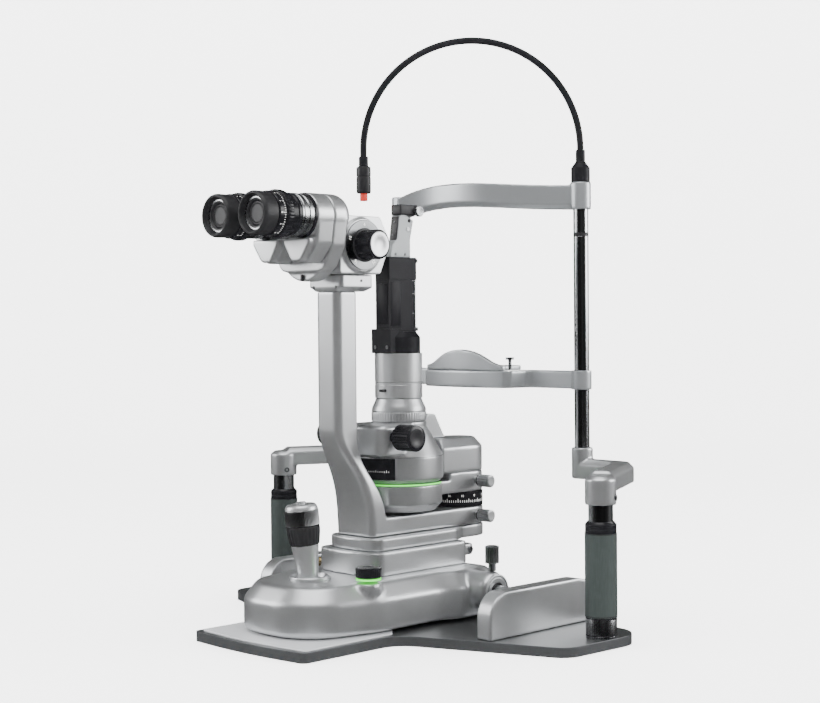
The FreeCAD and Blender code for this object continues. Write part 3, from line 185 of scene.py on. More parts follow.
def add_piece(name, mesh, slot, body, matrix=Matrix.Identity(4), smooth=True, replaced=()):
    """Puts a new mesh in the scene with a finish, on a body."""
    obj = bpy.data.objects.new(name, mesh)
    bpy.context.scene.collection.objects.link(obj)
    mesh.transform(matrix)
    if matrix.determinant() < 0:
        mesh.flip_normals()
    mesh.materials.append(FINISHES[slot])
    if smooth:
        mesh.shade_smooth()
        mesh.set_sharp_from_angle(angle=math.radians(34))
    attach(obj, body)
    if replaced:
        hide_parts(*replaced)
    return obj


def facing(direction, at):
    """Turns a piece built along +Z to face a direction, and moves it there."""
    turn = Z_AXIS.rotation_difference(Vector(direction)).to_matrix().to_4x4()
    return Matrix.Translation(at) @ turn


def turned(profile, sides=64, ripple=None):
    """A mesh turned about Z from (radius, height) in mm; ripple(row, angle) scales the radius."""
    bm = bmesh.new()
    rows = []
    for row, (radius, height) in enumerate(profile):
        ring = []
        for i in range(sides):
            angle = 2 * math.pi * i / sides
            r = radius * (ripple(row, angle) if ripple else 1) * MM
            ring.append(bm.verts.new((r * math.cos(angle), r * math.sin(angle), height * MM)))
        rows.append(ring)
    for low, high in zip(rows, rows[1:]):
        for i in range(sides):
            j = (i + 1) % sides
            bm.faces.new((low[i], low[j], high[j], high[i]))
    bm.faces.new(list(reversed(rows[0])))
    bm.faces.new(rows[-1])
    return mesh_of(bm, "turned")


def ribbed(rows, count, depth, sharpness=1):
    """A ripple for turned() that cuts ribs into some rows of the profile."""
    def ripple(row, angle):
        return 1 - depth * (0.5 + 0.5 * math.cos(count * angle)) ** sharpness if row in rows else 1
    return ripple


def fluted(radius, length, flutes, depth=0.06, rim=1.0, sides_each=6):
    """A grip with scalloped flutes along it and plain bevelled rims."""
    def ripple(row, angle):
        if row in (0, 1, 6, 7):
            return 1
        return 1 - depth * abs(math.cos(flutes * angle / 2)) ** 6
    profile = [(radius - rim, 0), (radius, rim * 0.6), (radius, rim), (radius, rim * 1.6),
               (radius, length - rim * 1.6), (radius, length - rim), (radius, length - rim * 0.6),
               (radius - rim, length)]
    return turned(profile, flutes * sides_each, ripple)


def rounded_block(width, depth, height, radius=0.6):
    """A block centred on its base, with rounded edges; sizes in mm."""
    bm = bmesh.new()
    bmesh.ops.create_cube(bm, size=1)
    bmesh.ops.scale(bm, vec=(width * MM, depth * MM, height * MM), verts=bm.verts)
    bmesh.ops.translate(bm, vec=(0, 0, height * MM / 2), verts=bm.verts)
    bmesh.ops.bevel(bm, geom=bm.edges[:], offset=radius * MM, segments=3, profile=0.5, affect="EDGES")
    return mesh_of(bm, "block", recalculate=False)


def ring_mesh(inner, outer, low, high, sides=64):
    """A flat ring with a square section; sizes in mm."""
    bm = bmesh.new()
    corners = ((inner, low), (outer, low), (outer, high), (inner, high))
    rows = [[bm.verts.new((r * MM * math.cos(2 * math.pi * i / sides), r * MM * math.sin(2 * math.pi * i / sides),
                           h * MM)) for i in range(sides)] for r, h in corners]
    for a, b in zip(rows, rows[1:] + rows[:1]):
        for i in range(sides):
            j = (i + 1) % sides
            bm.faces.new((a[i], a[j], b[j], b[i]))
    return mesh_of(bm, "ring")


def socket_screw(radius=2.4, height=1.2):
    """A cap screw's head with a six-sided recess."""
    bm = bmesh.new()
    sides, hexagon = 24, radius * 0.5
    rows = []
    profile = [(radius, 0), (radius, height * 0.7), (radius - 0.3, height), (hexagon, height),
               (hexagon * 0.96, height * 0.3)]
    for step, (r, h) in enumerate(profile):
        ring = []
        for i in range(sides):
            angle = 2 * math.pi * i / sides
            reach = r
            if step >= 3:
                reach = r * math.cos(math.pi / 6) / math.cos((angle % (math.pi / 3)) - math.pi / 6)
            ring.append(bm.verts.new((reach * MM * math.cos(angle), reach * MM * math.sin(angle), h * MM)))
        rows.append(ring)
    for a, b in zip(rows, rows[1:]):
        for i in range(sides):
            bm.faces.new((a[i], a[(i + 1) % sides], b[(i + 1) % sides], b[i]))
    bm.faces.new(rows[-1])
    return mesh_of(bm, "screw")


# ---------------------------------------------------------------- stage
def make_stage():
    """A pale floor that rises into a round backdrop, soft lights and the surroundings the metal reflects."""
    floor_radius, bend, sides, steps = 2600, 1400, 96, 16
    profile = [(0.02, 0), (1200, 0), (floor_radius, 0)]
    profile += [(floor_radius + bend * math.sin(a), bend - bend * math.cos(a)) for a in
                (math.pi / 2 * i / steps for i in range(1, steps + 1))]
    profile.append((floor_radius + bend, 4200))
    bm = bmesh.new()
    rows = [[bm.verts.new((r * MM * math.cos(math.tau * i / sides), r * MM * math.sin(math.tau * i / sides), h * MM))
             for i in range(sides)] for r, h in profile]
    for a, b in zip(rows, rows[1:]):
        for i in range(sides):
            bm.faces.new((a[i], a[(i + 1) % sides], b[(i + 1) % sides], b[i]))
    mesh = mesh_of(bm, "backdrop", recalculate=False)
    mesh.shade_smooth()
    pale = finish("backdrop", (0.86, 0.86, 0.86), 0, 0.7, grain=60, depth=0.0, tint=0.01, edge=0.1,
                  Emission_Color=(1, 1, 1, 1), Emission_Strength=2.2)
    mesh.materials.append(pale)
    wall = bpy.data.objects.new("backdrop", mesh)
    bpy.context.scene.collection.objects.link(wall)
    wall.visible_glossy = False
    lamp("right", (1.15, 1.15, 0.75), 1.1, 0.9, 24)
    lamp("left", (-1.3, -1.2, 0.85), 0.9, 1.0, 16)
    lamp("top", (0.3, -0.5, 1.9), 1.6, 1.6, 30)
    make_surroundings()


def lamp(name, at, width, height, power):
    """A soft area light that looks at the middle of the instrument."""
    light = bpy.data.lights.new(name, "AREA")
    light.shape = "RECTANGLE"
    light.size, light.size_y = width, height
    light.energy = power
    obj = bpy.data.objects.new(name, light)
    obj.location = at
    obj.rotation_mode = "QUATERNION"
    obj.rotation_quaternion = (Vector(at) - Vector((0, -0.05, 0.25))).to_track_quat("Z", "Y")
    obj.visible_camera = False
    bpy.context.scene.collection.objects.link(obj)


def make_surroundings():
    """What the metal reflects: a dim room with a few broad soft panels."""
    world = bpy.data.worlds.new("world")
    world.use_nodes = True
    tree = world.node_tree
    direction = tree.nodes.new("ShaderNodeTexCoord").outputs["Generated"]
    total = None
    # each panel: where it stands, the cosines at its rim and at its full strength, and that strength
    panels = [((0.70, 0.70, 0.50), 0.72, 0.96, 2.6), ((-0.75, -0.62, 0.45), 0.76, 0.97, 1.7),
              ((-0.70, 0.70, 0.10), 0.82, 0.98, 1.2), ((0.0, 0.0, 1.0), 0.66, 0.96, 2.6),
              ((0.75, -0.60, 0.30), 0.90, 0.99, 0.7)]
    for toward, rim, core, amount in panels:
        dot = node(tree, "ShaderNodeVectorMath")
        dot.operation = "DOT_PRODUCT"
        tree.links.new(direction, dot.inputs[0])
        dot.inputs[1].default_value = Vector(toward).normalized()
        panel = node(tree, "ShaderNodeMapRange", Value=dot.outputs["Value"])
        panel.interpolation_type = "SMOOTHSTEP"
        panel.inputs["From Min"].default_value = rim
        panel.inputs["From Max"].default_value = core
        panel.inputs["To Max"].default_value = amount
        if total is None:
            total = panel.outputs["Result"]
            continue
        both = node(tree, "ShaderNodeMath")
        both.operation = "ADD"
        tree.links.new(total, both.inputs[0])
        tree.links.new(panel.outputs["Result"], both.inputs[1])
        total = both.outputs[0]
    level = node(tree, "ShaderNodeMath")
    level.operation = "ADD"
    tree.links.new(total, level.inputs[0])
    dim_room = 0.10
    level.inputs[1].default_value = dim_room
    tree.links.new(level.outputs[0], tree.nodes["Background"].inputs["Strength"])
    bpy.context.scene.world = world


def make_camera():
    """The camera, at the operator's right, a little over the level of the chin rest."""
    azimuth, pitch, roll = math.radians(45.02), math.radians(1.11), math.radians(-0.49)
    sight = Vector((-math.sin(azimuth) * math.cos(pitch), math.cos(azimuth) * math.cos(pitch), -math.sin(pitch)))
    right = Vector((math.cos(azimuth), math.sin(azimuth), 0))
    up = right.cross(sight)
    tilted_right = right * math.cos(roll) + up * math.sin(roll)
    tilted_up = up * math.cos(roll) - right * math.sin(roll)
    data = bpy.data.cameras.new("camera")
    data.sensor_width = 36
    data.lens = 71.02
    data.clip_start = 0.05
    camera = bpy.data.objects.new("camera", data)
    axes = Matrix((tilted_right, tilted_up, -sight)).transposed()
    camera.matrix_world = Matrix.Translation((1.23283, -1.25635, 0.32411)) @ axes.to_4x4()
    bpy.context.scene.collection.objects.link(camera)
    bpy.context.scene.camera = camera


# ---------------------------------------------------------------- shaping
def merged(parts):
    """One mesh from several meshes, each with its own matrix."""
    bm = bmesh.new()
    for mesh, matrix in parts:
        copy = mesh.copy()
        copy.transform(matrix)
        bm.from_mesh(copy)
        bpy.data.meshes.remove(copy)
    return mesh_of(bm, "merged", recalculate=False)


def softened(name, nodes, slot, body, voxel=1.2, passes=8, keep=0.35):
    """A copy of CAD nodes with the rounded edges of a casting, shown in their place."""
    mesh = merged([(frame["nodes"][n].data, Matrix.Identity(4)) for n in nodes])
    obj = bpy.data.objects.new(name, mesh)
    bpy.context.scene.collection.objects.link(obj)
    remesh = obj.modifiers.new("remesh", "REMESH")
    remesh.mode = "VOXEL"
    remesh.voxel_size = voxel * MM
    smooth = obj.modifiers.new("smooth", "SMOOTH")
    smooth.factor = 0.5
    smooth.iterations = passes
    thin = obj.modifiers.new("thin", "DECIMATE")
    thin.ratio = keep
    graph = bpy.context.evaluated_depsgraph_get()
    shaped = bpy.data.meshes.new_from_object(obj.evaluated_get(graph))
    bpy.data.objects.remove(obj)
    return add_piece(name, shaped, slot, body, replaced=nodes)


def text_mesh(text, height):
    """Plain raised lettering in the XY plane, centred; height in mm."""
    curve = bpy.data.curves.new("text", "FONT")
    curve.body = text
    curve.size = height * MM
    curve.extrude = 0.06 * MM
    curve.align_x = "CENTER"
    curve.align_y = "CENTER"
    holder = bpy.data.objects.new("text", curve)
    bpy.context.scene.collection.objects.link(holder)
    graph = bpy.context.evaluated_depsgraph_get()
    mesh = bpy.data.meshes.new_from_object(holder.evaluated_get(graph))
    bpy.data.objects.remove(holder)
    return mesh


def plate(corners, thickness):
    """A flat plate from (x, y) corners in mm, extruded along Z, with its edges eased."""
    bm = bmesh.new()
    low = [bm.verts.new((x * MM, y * MM, 0)) for x, y in corners]
    face = bm.faces.new(low)
    grown = bmesh.ops.extrude_face_region(bm, geom=[face])
    raised = [v for v in grown["geom"] if isinstance(v, bmesh.types.BMVert)]
    bmesh.ops.translate(bm, vec=(0, 0, thickness * MM), verts=raised)
    bmesh.ops.recalc_face_normals(bm, faces=bm.faces[:])
    bmesh.ops.bevel(bm, geom=bm.edges[:], offset=min(0.3, thickness * 0.3) * MM, segments=2, profile=0.5,
                    affect="EDGES")
    return mesh_of(bm, "plate", recalculate=False)


def curved_plate(radius, low, high, start, end, thickness=0.4, steps=24):
    """A plate wrapped round the Z axis between two angles in degrees; sizes in mm."""
    bm = bmesh.new()
    columns = []
    for i in range(steps + 1):
        angle = math.radians(start + (end - start) * i / steps)
        x, y = math.cos(angle), math.sin(angle)
        columns.append([bm.verts.new((r * MM * x, r * MM * y, h * MM)) for r, h in (
            (radius, low), (radius + thickness, low + 0.2), (radius + thickness, high - 0.2), (radius, high))])
    for a, b in zip(columns, columns[1:]):
        for i in range(4):
            bm.faces.new((a[i], b[i], b[(i + 1) % 4], a[(i + 1) % 4]))
    bm.faces.new(columns[0])
    bm.faces.new(list(reversed(columns[-1])))
    return mesh_of(bm, "curved")


def ticks_round(radius, level, count, start, end, long=2.6, short=1.5, width=0.35, every=5):
    """Raised marks round the Z axis, with a long mark every few; sizes in mm."""
    parts = []
    for i in range(count + 1):
        angle = start + (end - start) * i / count
        tall = long if i % every == 0 else short
        spread = math.degrees(width / radius)
        parts.append((curved_plate(radius, level, level + tall, angle - spread / 2, angle + spread / 2, 0.12, 1),
                      Matrix.Identity(4)))
    return merged(parts)


# ---------------------------------------------------------------- castings
def make_castings():
    softened("carriage_casting", ["carriage_body"], "silver_paint", "carriage", 1.6, 34)
    softened("elevation_cover", ["elevation_housing"], "silver_paint", "carriage", 1.3, 8)
    softened("platform_casting", ["platform"], "silver_paint", "lift", 1.2, 6)
    softened("rising_arm", ["microscope_arm"], "silver_paint", "microscope", 1.3, 10)
    softened("head_mount_block", ["head_mount"], "silver_paint", "microscope", 0.8, 4)
    softened("head_body", ["head_housing"], "silver_paint", "microscope", 1.0, 8)
    softened("changer_body", ["changer_housing"], "silver_paint", "microscope", 1.0, 4)
    for side in ("left", "right"):
        softened(f"prism_cover_{side}", [f"prism_housing_{side}"], "silver_paint", f"binocular_{side}", 0.9, 6)
    softened("tower_base", ["illumination_arm"], "silver_paint", "illumination", 1.1, 5)
    softened("slit_body", ["slit_housing"], "silver_paint", "illumination", 1.0, 9)
    softened("lamp_cover", ["lamp_housing"], "silver_paint", "illumination", 1.1, 12)
    softened("prism_head_casting", ["prism_head"], "head_grey", "illumination", 0.6, 3)
    softened("bracket_castings", ["brackets"], "silver_paint", "stand", 1.0, 14)
    softened("rail_cover_castings", ["rail_covers"], "silver_paint", "stand", 1.2, 6)
    softened("forehead_bow", ["forehead_band"], "cool_grey", "stand", 1.1, 7)
    softened("chin_bar", ["chin_rest_bar"], "cool_grey", "chin_rest", 1.1, 7)
    softened("chin_saddle", ["chin_cup"], "cool_grey", "chin_rest", 0.9, 6)


# ---------------------------------------------------------------- knobs
def end_disc(radius, height=1.2):
    return turned([(radius - 0.1, 0), (radius, 0.2), (radius, height - 0.4), (radius - 0.5, height),
                   (radius * 0.55, height), (radius * 0.5, height - 0.25)], 48)


def make_knobs():
    low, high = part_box("slit_knobs")
    axis = middle("slit_knobs")
    reach, radius = high.x / MM, (high.z - low.z) / 2 / MM
    grip = fluted(radius, 24, 26, 0.07)
    shaft = turned([(5, -45), (5, 45)], 24)
    parts = [(shaft, facing(X_AXIS, axis))]
    for side, name in SIDES:
        parts.append((grip, facing(X_AXIS * side, (side * (reach - 24.6) * MM, axis.y, axis.z))))
        add_piece(f"slit_knob_cap_{name}", end_disc(radius - 3.4, 0.9), "satin_black",
                  "slit_width", facing(X_AXIS * side, (side * (reach - 0.8) * MM, axis.y, axis.z)))
    add_piece("slit_knob_grips", merged(parts), "black_knob", "slit_width", replaced=["slit_knobs"])

    axis = middle("magnification_knobs")
    low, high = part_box("magnification_knobs")
    reach, radius = high.x / MM, (high.z - low.z) / 2 / MM
    parts = []
    for side, name in SIDES:
        grip_at = facing(X_AXIS * side, (side * (reach - 21.4) * MM, axis.y, axis.z))
        parts.append((fluted(radius, 21, 9, 0.08, 1.4, 16), grip_at))
        add_piece(f"magnification_face_{name}", end_disc(radius - 2.2, 1.0), "bright_aluminium", "magnification",
                  facing(X_AXIS * side, (side * (reach - 0.6) * MM, axis.y, axis.z)))
        dial = end_disc(25.6, 1.0)
        face = (side * 39.2 * MM, axis.y, axis.z)
        add_piece(f"magnification_dial_{name}", dial, "dark_steel", "microscope", facing(X_AXIS * side, face))
        add_piece(f"dial_hub_{name}", turned([(17.2, 0), (17.2, 1.3), (16.4, 1.7)], 48), "satin_black", "microscope",
                  facing(X_AXIS * side, (side * 39.6 * MM, axis.y, axis.z)))
        numbers = []
        for i, text in enumerate(("6", "10", "16", "25", "40")):
            angle = math.radians(90 + 72 * i)
            turn = Matrix.Rotation(angle - math.pi / 2, 4, "Z")
            spot = Matrix.Translation((20.8 * MM * math.cos(angle), 20.8 * MM * math.sin(angle), 1.02 * MM))
            numbers.append((text_mesh(text, 4.6), spot @ turn))
        upright = Matrix.Translation(face) @ Matrix.Rotation(side * math.pi / 2, 4, "Z") @ Matrix.Rotation(
            math.pi / 2, 4, "X")
        add_piece(f"dial_numbers_{name}", merged(numbers), "white_plastic", "microscope", upright, smooth=False)
    add_piece("magnification_grips", merged(parts), "black_knob", "magnification", replaced=["magnification_knobs"])

    for node_name, body in (("scope_lock_knob", "scope_lock"), ("lamp_lock_knob", "lamp_lock")):
        low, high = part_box(node_name)
        axis = middle(node_name)
        radius = (high.z - low.z) / 2 / MM
        neck = turned([(4, 0), (4, 6)], 24)
        grip = fluted(radius, 15.4, 14, 0.09, 0.8)
        parts = [(neck, facing(X_AXIS, (low.x, axis.y, axis.z))),
                 (grip, facing(X_AXIS, (low.x + 6 * MM, axis.y, axis.z)))]
        add_piece(f"{node_name}_grip", merged(parts), "knob_steel", body, replaced=[node_name])
        add_piece(f"{node_name}_cap", end_disc(radius - 1.2, 1.0), "bright_aluminium", body,
                  facing(X_AXIS, (low.x + 21.2 * MM, axis.y, axis.z)))
        add_piece(f"{node_name}_band", ring_mesh(radius - 2, radius - 0.3, 0, 1.2, 32), "satin_black", body,
                  facing(X_AXIS, (low.x + 4.9 * MM, axis.y, axis.z)))

    low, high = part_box("dimmer_knob")
    axis = middle("dimmer_knob")
    radius, tall = (high.x - low.x) / 2 / MM, (high.z - low.z) / MM
    add_piece("dimmer_grip", fluted(radius, tall - 2.3, 30, 0.05, 1.5), "black_knob", "dimmer",
              facing(Z_AXIS, (axis.x, axis.y, low.z + 2.3 * MM)), replaced=["dimmer_knob"])
    add_piece("dimmer_top", end_disc(radius - 2.2, 0.6), "dark_steel", "dimmer",
              facing(Z_AXIS, (axis.x, axis.y, high.z - 0.4 * MM)))
    add_piece("dimmer_glow", ring_mesh(4, radius - 0.1, 0, 2.0), "green_light", "carriage",
              facing(Z_AXIS, (axis.x, axis.y, low.z + 0.1 * MM)))

    low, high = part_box("base_lock_knob")
    axis = middle("base_lock_knob")
    radius = (high.x - low.x) / 2 / MM
    neck = turned([(4, 0), (4, 8.2)], 24)
    parts = [(neck, facing(Z_AXIS, (axis.x, axis.y, low.z))),
             (fluted(radius, 18, 14, 0.09, 0.9), facing(Z_AXIS, (axis.x, axis.y, low.z + 8 * MM)))]
    add_piece("base_lock_grip", merged(parts), "knob_steel", "base_lock", replaced=["base_lock_knob"])
    add_piece("base_lock_cap", end_disc(radius - 1.4, 0.8), "satin_black", "base_lock",
              facing(Z_AXIS, (axis.x, axis.y, high.z - 0.6 * MM)))


# ---------------------------------------------------------------- binocular head
def make_oculars():
    """Ocular barrels, diopter rings with marks, eyecups and coated lenses."""
    for _, name in SIDES:
        body, ring = f"binocular_{name}", f"diopter_{name}"
        axis = middle(f"ocular_{name}")
        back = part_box(f"ocular_{name}")[1].y
        at = facing(-Y_AXIS, (axis.x, back, axis.z))
        barrel = [(21.6, 0), (22, 0.4), (22, 2.4), (20.2, 3), (20.2, 18.4), (21.3, 19), (21.5, 22.6), (20.6, 23.4),
                  (20.4, 29.6), (15.4, 29.9), (15.4, 53), (13.2, 53.2)]
        add_piece(f"ocular_barrel_{name}", turned(barrel, 72), "black_knob", body, at, replaced=[f"ocular_{name}"])
        bands = [(20.3, 3.2), (21.2, 3.8), (21.2, 8.6), (20.5, 9.2), (20.5, 11.4), (21.4, 12), (21.4, 15.6),
                 (20.9, 16.2), (20.9, 18), (20.3, 18.2)]
        add_piece(f"ocular_bands_{name}", turned(bands, 72), "bare_steel", body, at)
        front = Matrix.Translation((0, 0, 30.4 * MM))
        collar = [(20.6, 0), (22.6, 0.5), (23.6, 1.4), (23.9, 2.2), (23.9, 8), (23.4, 8.8), (22.2, 9.2), (22.2, 17.4),
                  (21.7, 18), (21.0, 18.4)]
        add_piece(f"diopter_collar_{name}", turned(collar, 264, ribbed((3, 4), 44, 0.018)), "black_knob", ring,
                  at @ front, replaced=[f"diopter_ring_{name}"])
        add_piece(f"diopter_marks_{name}", ticks_round(22.2, 10.6, 20, -60, 60), "white_plastic", ring, at @ front,
                  smooth=False)
        numbers = []
        for i, text in enumerate(("4", "2", "0", "2", "4")):
            turn = Matrix.Rotation(math.radians(-60 + 30 * i), 4, "Z")
            stand = Matrix.Translation((22.22 * MM, 0, 15.4 * MM)) @ Matrix.Rotation(math.pi / 2, 4, "Z")
            numbers.append((text_mesh(text, 2.6), turn @ stand @ Matrix.Rotation(math.pi / 2, 4, "X")))
        add_piece(f"diopter_numbers_{name}", merged(numbers), "white_plastic", ring, at @ front, smooth=False)
        cup = [(20.4, 18.2), (21.2, 19), (21.4, 21), (21.6, 31.5), (21.5, 33.4), (20.9, 35), (19.9, 35.9),
               (18.9, 36), (18.2, 35.4), (17.8, 34), (16.6, 31), (15.2, 28.6), (14.6, 28.2)]
        add_piece(f"eyecup_{name}", turned(cup, 72), "soft_rubber", ring, at @ front)
        seat = [(14.4, 28.4), (14.9, 29.8), (14.3, 30.4), (13.0, 30.2), (12.2, 28.8), (10.6, 28.0), (9.6, 27.2),
                (9.2, 26.4)]
        add_piece(f"lens_seat_{name}", turned(seat, 72), "satin_black", ring, at @ front)
        add_piece(f"lens_rim_{name}", ring_mesh(14.6, 16.2, 29.6, 30.6, 72), "bare_steel", ring, at @ front)
        add_piece(f"lens_inner_rim_{name}", ring_mesh(8.8, 9.8, 27.9, 28.4, 72), "dark_steel", ring, at @ front)
        lens = [(9.4, 26.4)] + [(9.4 * math.cos(math.pi / 2 * i / 8), 26.5 + 1.5 * math.sin(math.pi / 2 * i / 8))
                                for i in range(8)] + [(0.2, 28.0)]
        add_piece(f"ocular_lens_{name}", turned(lens, 48), "lens_coating", ring, at @ front)


def make_head_details():
    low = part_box("objective")[0]
    axis = middle("objective")
    barrel = [(25, 0), (25, 2), (24.3, 2.4), (24.3, 4.2), (25, 4.6), (25, 8.4), (24, 9.8), (21.6, 9.9), (20.8, 7.4),
              (20.2, 6.6)]
    add_piece("objective_barrel", turned(barrel, 72), "satin_black", "microscope",
              facing(Y_AXIS, (axis.x, low.y, axis.z)), replaced=["objective"])
    lens = [(20.4, 5.8)] + [(20.4 * math.cos(math.pi / 2 * i / 8), 6 + 2.2 * math.sin(math.pi / 2 * i / 8))
                            for i in range(8)] + [(0.2, 8.2)]
    add_piece("objective_lens", turned(lens, 64), "lens_coating", "microscope",
              facing(Y_AXIS, (axis.x, low.y, axis.z)))
    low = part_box("head_housing")[0]
    add_piece("stop_slot", rounded_block(3.4, 2.4, 6.5, 0.8), "satin_black", "microscope",
              Matrix.Translation((0, low.y + 0.4 * MM, low.z + 0.4 * MM)))
    low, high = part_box("head_mount")
    for x, name in ((-17, "left"), (17, "right")):
        add_piece(f"mount_screw_{name}", socket_screw(1.6, 0.8), "dark_steel", "microscope",
                  facing(-Y_AXIS, (x * MM, low.y + 0.2 * MM, high.z - 12.5 * MM)))
    for side, name in SIDES:
        add_piece(f"side_screw_{name}", socket_screw(1.4, 0.8), "dark_steel", "microscope",
                  facing(X_AXIS * side, (side * (high.x - 0.2 * MM), -0.119, high.z - 6 * MM)))


# ---------------------------------------------------------------- joystick and carriage
def stick_matrix(distance):
    """The joystick's own axis at rest, at a distance in mm above its ball."""
    foot = middle("joystick_ball")
    button = middle("joystick_button")
    along = (button - foot).normalized()
    return facing(along, foot + along * distance * MM)


def make_joystick():
    rubber = [(14.0, 0.1), (14.6, 0.5), (15.0, 1.4), (15.4, 3.6), (15.7, 6), (16.2, 9), (16.6, 12), (17.0, 16),
              (17.1, 18.8), (16.6, 19.5)]
    def ribs(row, angle):
        return 1 + 0.012 * math.cos(24 * angle) if 2 <= row <= 7 else 1
    add_piece("joystick_rubber", turned(rubber, 192, ribs), "soft_rubber", "joystick", stick_matrix(51),
              replaced=["joystick_grip"])
    wheel = [(16.4, 0), (17.2, 0.5), (17.3, 1.2), (17.3, 14.6), (17.1, 15.4), (16.4, 15.9)]
    add_piece("height_wheel_knurl", turned(wheel, 432, ribbed((2, 3), 72, 0.03)), "knob_steel", "height_wheel",
              stick_matrix(71), replaced=["height_ring"])
    crown = [(16.5, 0), (16.9, 0.4), (16.6, 2.4), (15.6, 4.6), (14.4, 5.8), (12.6, 6.3), (7.4, 6.4), (6.6, 5.6),
             (5.5, 5.4), (5.4, 3)]
    add_piece("height_wheel_crown", turned(crown, 96), "bright_aluminium", "height_wheel", stick_matrix(86.6))
    collar = [(16.2, 0), (21.3, 0), (21.3, 2.6), (20.6, 3.6), (18.6, 3.9), (18.2, 3.2), (17.7, 3.4), (17.1, 2.4),
              (14.6, -2), (12.3, -6)]
    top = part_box("joystick_collar")[1].z
    axis = middle("joystick_collar")
    add_piece("collar_disc", turned(collar, 96), "bright_aluminium", "carriage",
              facing(Z_AXIS, (axis.x, axis.y, top - 4 * MM)), replaced=["joystick_collar"])
    for i in range(3):
        angle = math.radians(30 + 120 * i)
        spot = (axis.x + 19.6 * MM * math.cos(angle), axis.y + 19.6 * MM * math.sin(angle), top - 0.7 * MM)
        add_piece(f"collar_screw_{i}", socket_screw(1.3, 0.6), "dark_steel", "carriage", facing(Z_AXIS, spot))


def make_carriage_details():
    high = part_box("carriage_body")[1]
    axle = middle("axle")
    for side, name in SIDES:
        face = [(17.2, 0), (17.4, 0.4), (17.2, 1.0), (15.4, 1.3), (15.0, 0.7), (13.8, 0.7), (13.4, 1.3), (9.2, 1.3),
                (8.8, 0.6), (6.4, 0.6)]
        add_piece(f"axle_boss_face_{name}", turned(face, 72), "silver_paint", "carriage",
                  facing(X_AXIS * side, (side * (high.x - 0.9 * MM), axle.y, axle.z)))
        add_piece(f"axle_seal_{name}", ring_mesh(6.1, 8.6, 0, 1.6, 48), "satin_black", "carriage",
                  facing(X_AXIS * side, (side * (high.x - 0.9 * MM), axle.y, axle.z)))
    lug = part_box("elevation_housing")
    for side, name in SIDES:
        add_piece(f"lug_screw_{name}", socket_screw(3.4, 1.4), "dark_steel", "carriage",
                  facing(X_AXIS * side, (side * 34.0 * MM, lug[1].y - 8 * MM, lug[0].z + 12 * MM)))


